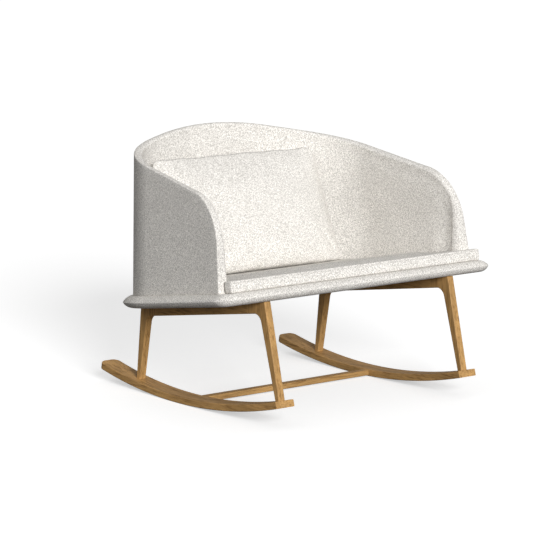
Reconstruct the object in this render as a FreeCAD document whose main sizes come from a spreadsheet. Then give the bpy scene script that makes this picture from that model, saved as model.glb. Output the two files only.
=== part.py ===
import FreeCAD, Part
import math
import os
import re
import Sketcher

# A rocking love seat: an upholstered seat and wrap-around shell on two teak rocker frames.
# Millimetres and degrees. X runs across the seat, the front faces -Y and Z points up.
# The origin lies on the floor under the middle of the object's box.

V = FreeCAD.Vector

SIZES = [
    # The two rocker frames
    ("frame_spacing", 700, "between the middle planes of the two frames"),
    ("rocker_width", 66, "width of a rocker lath"),
    ("rocker_thickness", 21, "thickness of a rocker lath"),
    ("rocker_radius", 1900, "radius of the rocker's running face"),
    ("rocker_contact", 44, "where the running face meets the floor, behind the origin"),
    ("rocker_front", 446, "front end, ahead of the origin"),
    ("rocker_rear", 446, "rear end, behind the origin"),
    ("rocker_tail_round", 22, "plan radius of the rear corners"),
    ("rocker_edge_round", 2.5, "rounding of the rocker's long edges"),
    ("leg_width", 23, "width of legs and rails across the seat"),
    ("leg_edge_round", 3, "rounding of the legs' long edges"),
    ("front_foot", 430, "front edge of the front foot, ahead of the origin"),
    ("front_foot_depth", 18, "depth of the front foot"),
    ("front_top", 363, "upper front corner of the front leg, ahead of the origin"),
    ("front_knee_depth", 24, "depth of the front leg under the rail"),
    ("rear_foot", 273, "rear edge of the rear foot, behind the origin"),
    ("rear_foot_depth", 17, "depth of the rear foot"),
    ("rear_top", 247, "upper rear corner of the rear leg, behind the origin"),
    ("rear_knee_depth", 31, "depth of the rear leg under the rail"),
    ("knee_radius", 30, "inner curve between leg and rail"),
    ("knee_length", 56, "from the inner corner of a leg to its joint with the rail"),
    ("rail_height", 33, "height of the top rail"),
    ("stretcher_place", -8, "middle of the stretcher, behind the origin"),
    ("stretcher_depth", 27, "depth of the stretcher"),
    ("stretcher_height", 16.5, "height of the stretcher"),
    ("stretcher_lift", 3.5, "underside of the stretcher above the floor"),
    ("stretcher_edge_round", 2, "rounding of the stretcher's long edges"),
    ("dowel_radius", 4, "radius of the wooden dowels"),
    ("dowel_depth", 15, "depth of a dowel in each of its two pieces"),
    ("dowel_pair", 7, "from the middle of a joint to each dowel of a pair"),
    ("hole_clearance", 0.1, "radial clearance of dowels, bolts and studs in their holes"),
    ("seat_gap", 0.2, "gap between curved or soft faces that rest on each other"),
    # The seat base
    ("seat_pitch", 9, "backward tilt of the whole seat"),
    ("seat_origin_y", -120, "origin of the seat's own frame"),
    ("seat_origin_z", 358, "height of the base's top face at that origin"),
    ("base_thickness", 36, "thickness of the upholstered base"),
    ("base_flange", 32, "how far the base reaches beyond the shell"),
    ("base_front", 257, "front edge of the base, ahead of the seat's origin"),
    ("base_front_radius", 45, "plan radius of the base's front corners"),
    ("base_top_bevel", 27, "width of the slope on the base's upper edge"),
    ("base_under_bevel", 26, "width of the slope on the base's lower edge"),
    ("base_rim", 4, "height of the blunt edge between the two slopes"),
    ("board_thickness", 15, "thickness of the plywood seat board"),
    ("board_drop", 11, "top of the seat board below the base's top face"),
    ("board_inset", 12, "board's edge inside the shell's outer face"),
    # The wrap-around shell
    ("shell_thickness", 42, "thickness of the padded wall"),
    ("shell_outer_pad", 9, "thickness of the outer padding and cover"),
    ("shell_panel", 14, "thickness of the bent plywood panel"),
    ("shell_rim_pad", 9, "thickness of the padding over the panel's edge"),
    ("shell_half_width", 483.7, "half width over the arms at their front ends"),
    ("shell_splay", 3.5, "how much the arms open towards the front"),
    ("shell_front", 190, "front ends of the arms, ahead of the seat's origin"),
    ("shell_back", 498, "outer face of the back, behind the seat's origin"),
    ("shell_back_radius", 941, "plan radius of the back"),
    ("shell_corner_radius", 305, "plan radius of the rear corners"),
    ("shell_back_lean", 7.6, "inward lean of the back from the seat's normal"),
    ("shell_side_lean", 4.8, "inward lean of the arms from the seat's normal"),
    ("rim_height", 322, "height of the arms' sloping rim over the seat's origin"),
    ("rim_slope", 18.5, "rise of the rim towards the back"),
    ("rim_crown", 34, "extra rise of the rim in the middle of the back"),
    ("rim_crown_reach", 420, "half width of that rise"),
    ("arm_corner_radius", 172, "curve from the rim down to the arm's front end"),
    # The seat cushion
    ("cushion_thickness", 30, "thickness of the seat cushion"),
    ("cushion_front", 229, "front edge of the cushion, ahead of the seat's origin"),
    ("cushion_overhang", 3.3, "how far the front strip reaches beyond the arms' outer faces"),
    ("cushion_clearance", 10, "gap between cushion and padded wall at the base"),
    ("arm_clearance", 8, "gap between the arms' ends and the front strip"),
    ("cover_thickness", 2, "thickness of the cushions' covers with their lining"),
    ("fill_gap", 0.2, "gap between a cover and its filling"),
    # The back pillow
    ("pillow_width", 628, "width of the back pillow"),
    ("pillow_height", 366, "height of the back pillow along its own face"),
    ("pillow_thickness", 150, "thickness of the back pillow"),
    ("pillow_lean", 10, "backward lean of the pillow from the seat's normal"),
    ("pillow_corner_radius", 45, "corner radius of the pillow"),
    ("pillow_crown", 85, "how far the pillow's faces draw in from its edge"),
    ("pillow_belly", 0.7, "share of the half thickness where the pillow's sides turn into its faces"),
    ("pillow_back_gap", 6, "gap between pillow and padded wall"),
    # Fixings
    ("bolt_radius", 3, "shank radius of the frame bolts"),
    ("bolt_head_radius", 5.5, "head radius of the frame bolts"),
    ("bolt_head_height", 4, "head height of the frame bolts"),
    ("bolt_sink", 2, "depth of the bolt heads above the rail's lower face"),
    ("bolt_first", -101, "first bolt along the seat"),
    ("bolt_pitch", 162, "distance between the bolts"),
    ("insert_radius", 5, "outer radius of the threaded inserts"),
    ("insert_short", 3, "how much shorter the inserts are than the board is thick"),
    ("insert_skin", 1, "wood left over the bolts' blind holes"),
    ("stud_radius", 2.5, "radius of the shell's studs"),
    ("stud_rise", 22, "how far a stud stands in the shell panel"),
    ("stud_side_first", -120, "first stud in an arm, along the seat"),
    ("stud_side_pitch", 220, "distance to the second stud in an arm"),
    ("stud_back_place", 190, "studs in the back, from the middle plane"),
]

ALIASES = {alias for alias, value, note in SIZES}
SIDES = {"left": -1, "right": 1}
BOLTS_PER_RAIL = 3
STUDS_PER_ARM = 2
LEVEL = 0.999
TOUCH = 0.01
nodes = {}

doc = FreeCAD.newDocument("rocking_love_seat")
sheet = doc.addObject("Spreadsheet::Sheet", "sizes")
for row, (alias, value, note) in enumerate(SIZES, start=1):
    sheet.set(f"A{row}", alias)
    sheet.set(f"B{row}", str(value))
    sheet.set(f"C{row}", note)
    sheet.setAlias(f"B{row}", alias)
doc.recompute()


# Expressions over the sheet

def bound(expression):
    """The expression with each size read from the sheet."""
    return re.sub(r"[a-z_]+", lambda word: "sizes." + word[0] if word[0] in ALIASES else word[0], expression)


def number(expression):
    """The expression's present value."""
    value = sheet.evalExpression(expression)
    return float(getattr(value, "Value", value))


COS_PITCH = "cos(seat_pitch * 1deg)"
SIN_PITCH = "sin(seat_pitch * 1deg)"
TAN_PITCH = "tan(seat_pitch * 1deg)"
TAN_BACK = "tan(shell_back_lean * 1deg)"
TAN_SIDE = "tan(shell_side_lean * 1deg)"


def seat_y(along, above):
    return f"seat_origin_y + ({along}) * {COS_PITCH} + ({above}) * {SIN_PITCH}"


def seat_z(along, above):
    return f"seat_origin_z - ({along}) * {SIN_PITCH} + ({above}) * {COS_PITCH}"


def rail_top(y):
    """Height of the rail's upper face, which carries the base's underside."""
    return f"seat_origin_z - base_thickness / {COS_PITCH} - (({y}) - seat_origin_y) * {TAN_PITCH}"


def rail_under(y):
    return f"{rail_top(y)} - rail_height / {COS_PITCH}"


def rocker_top(y):
    """Height of the rocker's upper face."""
    return (f"rocker_radius - sqrt((rocker_radius - rocker_thickness)^2"
            f" - (({y}) - rocker_contact)^2)")


# Sketches and features

def origin_plane(body, role):
    return next(item for item in body.Origin.OriginFeatures if item.Role == role)


def new_body(name):
    return doc.addObject("PartDesign::Body", name)


def new_sketch(body, name, role="YZ_Plane", lift="0"):
    sketch = body.newObject("Sketcher::SketchObject", name)
    sketch.AttachmentSupport = [(origin_plane(body, role), "")]
    sketch.MapMode = "FlatFace"
    sketch.setExpression(".AttachmentOffset.Base.z", bound(lift))
    return sketch


def dimension(sketch, kind, *where, size):
    """A dimension that follows the sheet."""
    index = sketch.addConstraint(Sketcher.Constraint(kind, *where, number(size)))
    sketch.setExpression(f"Constraints[{index}]", bound(size))


def angle(sketch, line, degrees):
    index = sketch.addConstraint(Sketcher.Constraint("Angle", line, math.radians(number(degrees))))
    sketch.setExpression(f"Constraints[{index}]", f"({bound(degrees)}) * 1deg")


def pin(sketch, geometry, end, across=None, up=None):
    """Fix one point of a sketch at its two distances from the sketch's origin."""
    if across is not None:
        dimension(sketch, "DistanceX", -1, 1, geometry, end, size=across)
    if up is not None:
        dimension(sketch, "DistanceY", -1, 1, geometry, end, size=up)


def join(sketch, *pairs):
    for first, first_end, second, second_end in pairs:
        sketch.addConstraint(Sketcher.Constraint("Coincident", first, first_end, second, second_end))


def smooth(sketch, *pairs):
    for first, first_end, second, second_end in pairs:
        sketch.addConstraint(Sketcher.Constraint("Tangent", first, first_end, second, second_end))


def line(sketch, start, end):
    return sketch.addGeometry(Part.LineSegment(V(*start, 0), V(*end, 0)), False)


def arc(sketch, centre, radius, first, last):
    """An arc that runs counter-clockwise between two points."""
    circle = Part.Circle(V(*centre, 0), V(0, 0, 1), radius)
    start = math.atan2(first[1] - centre[1], first[0] - centre[0])
    end = math.atan2(last[1] - centre[1], last[0] - centre[0])
    return sketch.addGeometry(Part.ArcOfCircle(circle, start, end), False)


def polygon(sketch, corners):
    """A closed outline of straight edges through corners given as expressions."""
    points = [(number(across), number(up)) for across, up in corners]
    count = len(points)
    edges = [line(sketch, points[i], points[(i + 1) % count]) for i in range(count)]
    join(sketch, *[(edges[i], 2, edges[(i + 1) % count], 1) for i in range(count)])
    for edge, (across, up) in zip(edges, corners):
        pin(sketch, edge, 1, across, up)


def pad(body, sketch, length, symmetric=False, downwards=False):
    feature = body.newObject("PartDesign::Pad", body.Name + "_pad")
    feature.Profile = sketch
    feature.setExpression("Length", bound(length))
    feature.SideType = "Symmetric" if symmetric else "One side"
    feature.Reversed = downwards
    doc.recompute()
    return feature


def pocket_through(body, sketch):
    """Cut everything inside the outline, both ways, and make sure that it cut."""
    before = body.Tip.Shape.Volume
    feature = body.newObject("PartDesign::Pocket", body.Name + "_pocket")
    feature.Profile = sketch
    feature.Type = "ThroughAll"
    feature.SideType = "Symmetric"
    doc.recompute()
    if feature.Shape.Volume >= before:
        raise RuntimeError(feature.Name + " cut nothing")
    return feature


def round_edges(body, radius, chosen):
    base = body.Tip
    names = [f"Edge{i}" for i, edge in enumerate(base.Shape.Edges, start=1) if chosen(edge)]
    feature = body.newObject("PartDesign::Fillet", body.Name + "_round")
    feature.Base = (base, names)
    feature.setExpression("Radius", bound(radius))
    doc.recompute()


def level_faces(shape, normal_z):
    """The numbers of the flat faces that look straight up or straight down."""
    return [i for i, face in enumerate(shape.Faces, start=1)
            if isinstance(face.Surface, Part.Plane) and face.normalAt(0, 0).z * normal_z > LEVEL]


def bevel_face(body, normal_z, width, height):
    """Slope the whole edge of the face that looks up or down: width along it, height down the side."""
    base = body.Tip
    before = base.Shape.BoundBox.XLength
    feature = body.newObject("PartDesign::Chamfer", body.Name + "_bevel")
    feature.Base = (base, [f"Face{level_faces(base.Shape, normal_z)[0]}"])
    feature.ChamferType = "Two distances"
    feature.setExpression("Size", bound(height))
    feature.setExpression("Size2", bound(width))
    doc.recompute()
    flat = feature.Shape.Faces[level_faces(feature.Shape, normal_z)[0] - 1]
    drawn_in = (before - flat.BoundBox.XLength) / 2
    if abs(drawn_in - number(width)) > abs(drawn_in - number(height)):
        feature.FlipDirection = True
        doc.recompute()


def on_seat(thing):
    """Set a piece that is modelled level into the tilted frame of the seat."""
    thing.Placement = FreeCAD.Placement(V(0, 0, 0), FreeCAD.Rotation(V(1, 0, 0), -number("seat_pitch")))
    thing.setExpression(".Placement.Base.y", bound("seat_origin_y"))
    thing.setExpression(".Placement.Base.z", bound("seat_origin_z"))
    thing.setExpression(".Placement.Rotation.Angle", bound("-seat_pitch * 1deg"))


def cylinder(name, radius, length, place, axis=V(1, 0, 0), turn="0"):
    """A round bar from a point, along Z turned about the axis."""
    bar = doc.addObject("Part::Cylinder", name)
    bar.setExpression("Radius", bound(radius))
    bar.setExpression("Height", bound(length))
    bar.Placement = FreeCAD.Placement(V(0, 0, 0), FreeCAD.Rotation(axis, number(turn)))
    for letter, distance in zip("xyz", place):
        bar.setExpression(f".Placement.Base.{letter}", bound(distance))
    if turn != "0":
        bar.setExpression(".Placement.Rotation.Angle", bound(f"({turn}) * 1deg"))
    return bar


def group(name, members):
    compound = doc.addObject("Part::Compound", name)
    compound.Links = members
    return compound


def cut(name, base, tools):
    feature = doc.addObject("Part::Cut", name)
    feature.Base = base
    feature.Tool = tools[0] if len(tools) == 1 else group(name + "_holes", tools)
    return feature


def node(label, thing):
    thing.Label = label
    nodes[label] = thing


# The rocker frames

def rocker_form(name, x):
    body = new_body(name)
    sketch = new_sketch(body, name + "_side")
    inner = "rocker_radius - rocker_thickness"
    share = f"({inner}) / rocker_radius"
    centre = (number("rocker_contact"), number("rocker_radius"))

    def ends(radius):
        points = []
        for end in ("-rocker_front", "rocker_rear"):
            drop = f"sqrt(rocker_radius^2 - ({end} - rocker_contact)^2)"
            across = f"rocker_contact + ({end} - rocker_contact) * {radius}"
            points.append((across, f"rocker_radius - {drop} * {radius}"))
        return points

    low = ends("1")
    high = ends(share)
    spots = [(number(across), number(up)) for across, up in low + high]
    under = arc(sketch, centre, number("rocker_radius"), spots[0], spots[1])
    tail = line(sketch, spots[1], spots[3])
    upper = arc(sketch, centre, number(inner), spots[2], spots[3])
    nose = line(sketch, spots[2], spots[0])
    join(sketch, (under, 2, tail, 1), (tail, 2, upper, 2), (upper, 1, nose, 1), (nose, 2, under, 1))
    join(sketch, (under, 3, upper, 3))
    pin(sketch, under, 3, "rocker_contact", "rocker_radius")
    dimension(sketch, "Radius", under, size="rocker_radius")
    dimension(sketch, "Radius", upper, size=inner)
    for end in range(2):
        pin(sketch, under, end + 1, across=low[end][0])
        pin(sketch, upper, end + 1, across=high[end][0])
    pad(body, sketch, "rocker_width", symmetric=True)
    middle = number("rocker_rear") - 2 * number("rocker_thickness")
    round_edges(body, "rocker_tail_round", lambda edge: edge.BoundBox.XLength < TOUCH
                and edge.CenterOfMass.y > middle and edge.Length < 2 * number("rocker_thickness"))
    long_edge = number("rocker_rear")
    round_edges(body, "rocker_edge_round", lambda edge: edge.Length > long_edge)
    body.setExpression(".Placement.Base.x", bound(x))
    return body


def leg_form(name, x, foot, foot_depth, top, knee_depth, sense):
    """A leg with its knee: the foot on the rocker, the knee up to the joint with the rail."""
    inner_foot = f"({foot}) + {sense} * {foot_depth}"
    inner_top = f"({top}) + {sense} * {knee_depth}"
    joint = f"{inner_top} + {sense} * knee_length"
    body = new_body(name)
    sketch = new_sketch(body, name + "_side")
    polygon(sketch, [
        (foot, f"{rocker_top(foot)} + seat_gap"),
        (inner_foot, f"{rocker_top(inner_foot)} + seat_gap"),
        (inner_top, rail_under(inner_top)),
        (joint, rail_under(joint)),
        (joint, rail_top(joint)),
        (top, rail_top(top)),
    ])
    pad(body, sketch, "leg_width", symmetric=True)
    knee = V(0, number(inner_top), number(rail_under(inner_top)))
    round_edges(body, "knee_radius", lambda edge: edge.BoundBox.XLength > TOUCH
                and (edge.CenterOfMass - knee).Length < TOUCH)
    joint_y = number(joint)

    def shows(edge):
        """Long edges on the leg's two sides, and not those at its foot, its joint and under the seat."""
        middle = edge.CenterOfMass
        along_side = edge.BoundBox.XLength < TOUCH
        at_joint = abs(middle.y - joint_y) < TOUCH
        at_top = abs(middle.z - number(rail_top(str(middle.y)))) < TOUCH
        at_foot = middle.z - number(rocker_top(str(middle.y))) < number("leg_edge_round")
        return along_side and not (at_joint or at_top or at_foot)

    round_edges(body, "leg_edge_round", shows)
    body.setExpression(".Placement.Base.x", bound(x))
    return body


def frame_side(side, sign):
    x = f"{sign} * frame_spacing / 2"
    legs = {
        "front": ("-front_foot", "front_foot_depth", "-front_top", "front_knee_depth", 1),
        "rear": ("rear_foot", "rear_foot_depth", "rear_top", "rear_knee_depth", -1),
    }
    dowel_length = "2 * dowel_depth"
    hole_radius = "dowel_radius + hole_clearance"
    foot_dowels = []
    foot_holes = []
    rail_dowels = []
    rail_holes = []
    joints = []
    for place, (foot, foot_depth, top, knee_depth, sense) in legs.items():
        middle = f"{foot} + {sense} * {foot_depth} / 2"
        low = f"{rocker_top(middle)} - dowel_depth"
        foot_place = (x, middle, low)
        name = f"{side}_{place}_foot"
        foot_dowels.append(cylinder(name + "_dowel", "dowel_radius", dowel_length, foot_place))
        foot_holes.append(cylinder(name + "_hole", hole_radius, dowel_length, foot_place))
        joint = f"{top} + {sense} * ({knee_depth} + knee_length)"
        joints.append(joint)
        ends = []
        for offset in ("dowel_pair", "-dowel_pair"):
            height = f"{rail_top(joint)} - rail_height / 2 / {COS_PITCH} + {offset}"
            start = (x, f"{joint} - dowel_depth * {COS_PITCH}", f"{height} + dowel_depth * {SIN_PITCH}")
            turn = "-(90 + seat_pitch)"
            name = f"{side}_{place}_rail"
            rail_dowels.append(cylinder(name + "_dowel", "dowel_radius", dowel_length, start, turn=turn))
            ends.append(cylinder(name + "_hole", hole_radius, dowel_length, start, turn=turn))
        rail_holes += ends
        form = leg_form(f"{side}_{place}_leg_form", x, foot, foot_depth, top, knee_depth, sense)
        node(f"{side}_{place}_leg", cut(f"{side}_{place}_leg", form, [foot_holes[-1]] + ends))
    stretcher_holes = []
    stretcher_dowels = []
    inner_face = f"{x} - {sign} * rocker_width / 2"
    for offset in ("dowel_pair", "-dowel_pair"):
        height = "stretcher_lift + stretcher_height / 2"
        start = (f"{inner_face} - dowel_depth", f"stretcher_place + {offset}", height)
        across = V(0, 1, 0)
        name = f"{side}_stretcher"
        stretcher_dowels.append(cylinder(name + "_dowel", "dowel_radius", dowel_length, start, across, "90"))
        stretcher_holes.append(cylinder(name + "_hole", hole_radius, dowel_length, start, across, "90"))
    form = rocker_form(f"{side}_rocker_form", x)
    node(f"{side}_rocker", cut(f"{side}_rocker", form, foot_holes + stretcher_holes))
    form = rail_form(f"{side}_rail_form", x, joints)
    bolts, bolt_holes = frame_bolts(side, x)
    node(f"{side}_top_rail", cut(f"{side}_top_rail", form, rail_holes + bolt_holes))
    return foot_dowels, rail_dowels, stretcher_dowels, stretcher_holes, bolts


def rail_form(name, x, joints):
    body = new_body(name)
    sketch = new_sketch(body, name + "_side")
    front, rear = joints
    polygon(sketch, [(front, rail_under(front)), (rear, rail_under(rear)),
                     (rear, rail_top(rear)), (front, rail_top(front))])
    pad(body, sketch, "leg_width", symmetric=True)
    long_edge = number("rail_height") * 2

    def under(edge):
        middle = edge.CenterOfMass
        return edge.Length > long_edge and abs(middle.z - number(rail_under(str(middle.y)))) < TOUCH

    round_edges(body, "leg_edge_round", under)
    body.setExpression(".Placement.Base.x", bound(x))
    return body


def bolt_places():
    return [f"bolt_first + {i} * bolt_pitch" for i in range(BOLTS_PER_RAIL)]


def frame_bolts(side, x):
    """Bolts up through a rail into the seat board, with their holes."""
    low = "-(base_thickness + rail_height)"
    tip = "-(board_drop + insert_skin + hole_clearance)"
    bolts = []
    holes = []
    for along in bolt_places():
        head_start = f"{low} + bolt_sink"
        head = (x, seat_y(along, head_start), seat_z(along, head_start))
        shank_start = f"{head_start} + bolt_head_height"
        shank = (x, seat_y(along, shank_start), seat_z(along, shank_start))
        recess = (x, seat_y(along, f"{low} - bolt_sink"), seat_z(along, f"{low} - bolt_sink"))
        turn = "-seat_pitch"
        fused = doc.addObject("Part::Fuse", f"{side}_bolt")
        fused.Base = cylinder(f"{side}_bolt_head", "bolt_head_radius", "bolt_head_height", head, turn=turn)
        fused.Tool = cylinder(f"{side}_bolt_shank", "bolt_radius", f"{tip} - ({shank_start})",
                              shank, turn=turn)
        bolts.append(fused)
        holes.append(cylinder(f"{side}_bolt_recess", "bolt_head_radius + hole_clearance",
                              "2 * bolt_sink + bolt_head_height", recess, turn=turn))
        holes.append(cylinder(f"{side}_bolt_hole", "bolt_radius + hole_clearance", "2 * rail_height",
                              recess, turn=turn))
    return bolts, holes


def stretcher(holes):
    body = new_body("stretcher_form")
    sketch = new_sketch(body, "stretcher_section")
    front = "stretcher_place - stretcher_depth / 2"
    rear = "stretcher_place + stretcher_depth / 2"
    top = "stretcher_lift + stretcher_height"
    polygon(sketch, [(front, "stretcher_lift"), (rear, "stretcher_lift"), (rear, top), (front, top)])
    pad(body, sketch, "frame_spacing - rocker_width", symmetric=True)
    long_edge = number("stretcher_depth") * 2
    round_edges(body, "stretcher_edge_round", lambda edge: edge.Length > long_edge)
    node("stretcher", cut("stretcher", body, holes))


# The plan of the seat

def plan_values(inset, above):
    """The shell's plan at a height, drawn in by an inset from the outer face."""
    half = f"shell_half_width - ({inset}) / cos(shell_splay * 1deg) - ({above}) * {TAN_SIDE}"
    corner = f"shell_corner_radius - ({inset}) - ({above}) * ({TAN_BACK} + {TAN_SIDE}) / 2"
    back = f"shell_back_radius - ({inset}) - ({above}) * {TAN_BACK}"
    return half, corner, back


def plan_points(half, corner, back, front):
    """Numbers of one half of the plan: the arm's line, the corner's arc and the back's arc."""
    splay = math.radians(number("shell_splay"))
    along = (-math.sin(splay), math.cos(splay))
    corner_radius = number(corner)
    back_radius = number(back)
    middle_y = number("shell_back - shell_back_radius")
    start = (number(half), number(front))
    base = (start[0] - math.cos(splay) * corner_radius, start[1] - math.sin(splay) * corner_radius)
    reach = (base[0], base[1] - middle_y)
    onward = reach[0] * along[0] + reach[1] * along[1]
    spare = reach[0] ** 2 + reach[1] ** 2 - (back_radius - corner_radius) ** 2
    run = -onward + math.sqrt(onward ** 2 - spare)
    centre = (base[0] + run * along[0], base[1] + run * along[1])
    bend = (start[0] + run * along[0], start[1] + run * along[1])
    toward = math.hypot(centre[0], centre[1] - middle_y)
    shoulder = (centre[0] / toward * back_radius, middle_y + (centre[1] - middle_y) / toward * back_radius)
    return start, bend, centre, shoulder, middle_y


def mirrored(point):
    return (-point[0], point[1])


def plan_chain(sketch, inset, above, front):
    """The open U of the plan: right arm, right corner, back, left corner, left arm."""
    half, corner, back = plan_values(inset, above)
    half_front = f"{half} - (({front}) + shell_front) * tan(shell_splay * 1deg)"
    start, bend, centre, shoulder, middle_y = plan_points(half_front, corner, back, front)
    right_arm = line(sketch, start, bend)
    right_corner = arc(sketch, centre, number(corner), bend, shoulder)
    rear = arc(sketch, (0, middle_y), number(back), shoulder, mirrored(shoulder))
    left_corner = arc(sketch, mirrored(centre), number(corner), mirrored(shoulder), mirrored(bend))
    left_arm = line(sketch, mirrored(bend), mirrored(start))
    smooth(sketch, (right_arm, 2, right_corner, 1), (right_corner, 2, rear, 1),
           (rear, 2, left_corner, 1), (left_corner, 2, left_arm, 1))
    dimension(sketch, "Radius", right_corner, size=corner)
    dimension(sketch, "Radius", left_corner, size=corner)
    dimension(sketch, "Radius", rear, size=back)
    sketch.addConstraint(Sketcher.Constraint("PointOnObject", rear, 3, -2))
    pin(sketch, rear, 3, up="shell_back - shell_back_radius")
    angle(sketch, right_arm, "90 + shell_splay")
    angle(sketch, left_arm, "-90 - shell_splay")
    pin(sketch, right_arm, 1, half_front, front)
    pin(sketch, left_arm, 2, f"-({half_front})", front)
    return right_arm, left_arm, start


def wall_ring(body, name, above, outer, inner, front):
    """The closed outline of the wall between two insets, at a height."""
    sketch = new_sketch(body, name, "XY_Plane", above)
    outer_right, outer_left, outer_start = plan_chain(sketch, outer, above, front)
    inner_right, inner_left, inner_start = plan_chain(sketch, inner, above, front)
    right_end = line(sketch, outer_start, inner_start)
    left_end = line(sketch, mirrored(outer_start), mirrored(inner_start))
    join(sketch, (right_end, 1, outer_right, 1), (right_end, 2, inner_right, 1),
         (left_end, 1, outer_left, 2), (left_end, 2, inner_left, 2))
    return sketch


RIM_TOP = "rim_height + shell_back * tan(rim_slope * 1deg) + rim_crown"


def crown_cut(body, name, drop):
    """Cut the wall along a rim that slopes up to the back and swells over its middle."""
    sketch = new_sketch(body, name, "XZ_Plane")
    sketch.AttachmentOffset = FreeCAD.Placement(V(0, 0, 0), FreeCAD.Rotation(V(1, 0, 0), number("rim_slope")))
    sketch.setExpression(".AttachmentOffset.Rotation.Angle", bound("rim_slope * 1deg"))
    sketch.setExpression(".AttachmentOffset.Base.y", bound("rim_height"))
    level = f"-({drop})"
    peak = f"rim_crown - ({drop})"
    reach = "rim_crown_reach"
    wide = "shell_half_width + base_flange"
    high = "rim_crown + shell_back"
    radius = "(rim_crown_reach^2 / 4 + rim_crown^2 / 4) / rim_crown"
    half_way = "rim_crown_reach / 2"
    half_up = f"rim_crown / 2 - ({drop})"
    size = number(radius)
    foot_r = (number(reach), number(level))
    turn_r = (number(half_way), number(half_up))
    wide_r = (number(wide), number(level))
    high_r = (number(wide), number(high))
    upper_centre = (0, number(peak) - size)
    lower_centre = (foot_r[0], foot_r[1] + size)
    left_flat = line(sketch, mirrored(wide_r), mirrored(foot_r))
    left_hollow = arc(sketch, mirrored(lower_centre), size, mirrored(foot_r), mirrored(turn_r))
    crown = arc(sketch, upper_centre, size, turn_r, mirrored(turn_r))
    right_hollow = arc(sketch, lower_centre, size, turn_r, foot_r)
    right_flat = line(sketch, foot_r, wide_r)
    right_side = line(sketch, wide_r, high_r)
    top = line(sketch, high_r, mirrored(high_r))
    left_side = line(sketch, mirrored(high_r), mirrored(wide_r))
    join(sketch, (left_flat, 2, left_hollow, 1), (left_hollow, 2, crown, 2), (crown, 1, right_hollow, 1),
         (right_hollow, 2, right_flat, 1), (right_flat, 2, right_side, 1), (right_side, 2, top, 1),
         (top, 2, left_side, 1), (left_side, 2, left_flat, 1))
    pin(sketch, left_flat, 1, f"-({wide})", level)
    pin(sketch, left_flat, 2, f"-{reach}", level)
    pin(sketch, left_hollow, 3, f"-{reach}", f"{level} + {radius}")
    pin(sketch, left_hollow, 2, across=f"-{half_way}")
    pin(sketch, crown, 1, half_way, half_up)
    dimension(sketch, "Radius", crown, size=radius)
    pin(sketch, right_hollow, 3, reach, f"{level} + {radius}")
    pin(sketch, right_flat, 1, across=reach)
    pin(sketch, right_flat, 2, wide, level)
    pin(sketch, right_side, 2, wide, high)
    pin(sketch, top, 2, f"-({wide})", high)
    pocket_through(body, sketch)


def arm_cut(body, name, drop, front):
    """Round the arms from the sloping rim down to their front ends."""
    sketch = new_sketch(body, name)
    radius = "arm_corner_radius"
    slope = "tan(rim_slope * 1deg)"
    sine = "sin(rim_slope * 1deg)"
    cosine = "cos(rim_slope * 1deg)"
    # The arc's centre lies one radius under the sloping rim and one radius behind the front end
    centre_y = f"({front}) + {radius}"
    centre_z = f"rim_height + ({centre_y}) * {slope} - (({drop}) + {radius}) / {cosine}"
    meet_y = f"{centre_y} - {radius} * {sine}"
    meet_z = f"{centre_z} + {radius} * {cosine}"
    ahead = f"({front}) - {radius}"
    above = f"{meet_z} + {radius}"
    spots = [(number(y), number(z)) for y, z in ((front, centre_z), (meet_y, meet_z), (meet_y, above),
                                                (ahead, above), (ahead, centre_z))]
    bend = arc(sketch, (number(centre_y), number(centre_z)), number(radius), spots[1], spots[0])
    rise = line(sketch, spots[1], spots[2])
    top = line(sketch, spots[2], spots[3])
    fall = line(sketch, spots[3], spots[4])
    floor = line(sketch, spots[4], spots[0])
    join(sketch, (bend, 1, rise, 1), (rise, 2, top, 1), (top, 2, fall, 1), (fall, 2, floor, 1),
         (floor, 2, bend, 2))
    pin(sketch, bend, 3, centre_y, centre_z)
    pin(sketch, bend, 2, front, centre_z)
    pin(sketch, bend, 1, across=meet_y)
    pin(sketch, rise, 2, meet_y, above)
    pin(sketch, top, 2, ahead, above)
    pin(sketch, fall, 2, ahead, centre_z)
    pocket_through(body, sketch)


def wall_form(name, outer, inner, drop="0"):
    """One layer of the wall: a leaning loft cut along the rim, drop below the finished edge."""
    front = f"-shell_front + ({drop})"
    body = new_body(name)
    low = wall_ring(body, name + "_low", "0", outer, inner, front)
    high = wall_ring(body, name + "_high", RIM_TOP, outer, inner, front)
    loft = body.newObject("PartDesign::AdditiveLoft", name + "_loft")
    loft.Profile = low
    loft.Sections = [high]
    loft.Ruled = True
    doc.recompute()
    crown_cut(body, name + "_rim", drop)
    arm_cut(body, name + "_arm", drop, front)
    on_seat(body)
    return body


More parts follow.
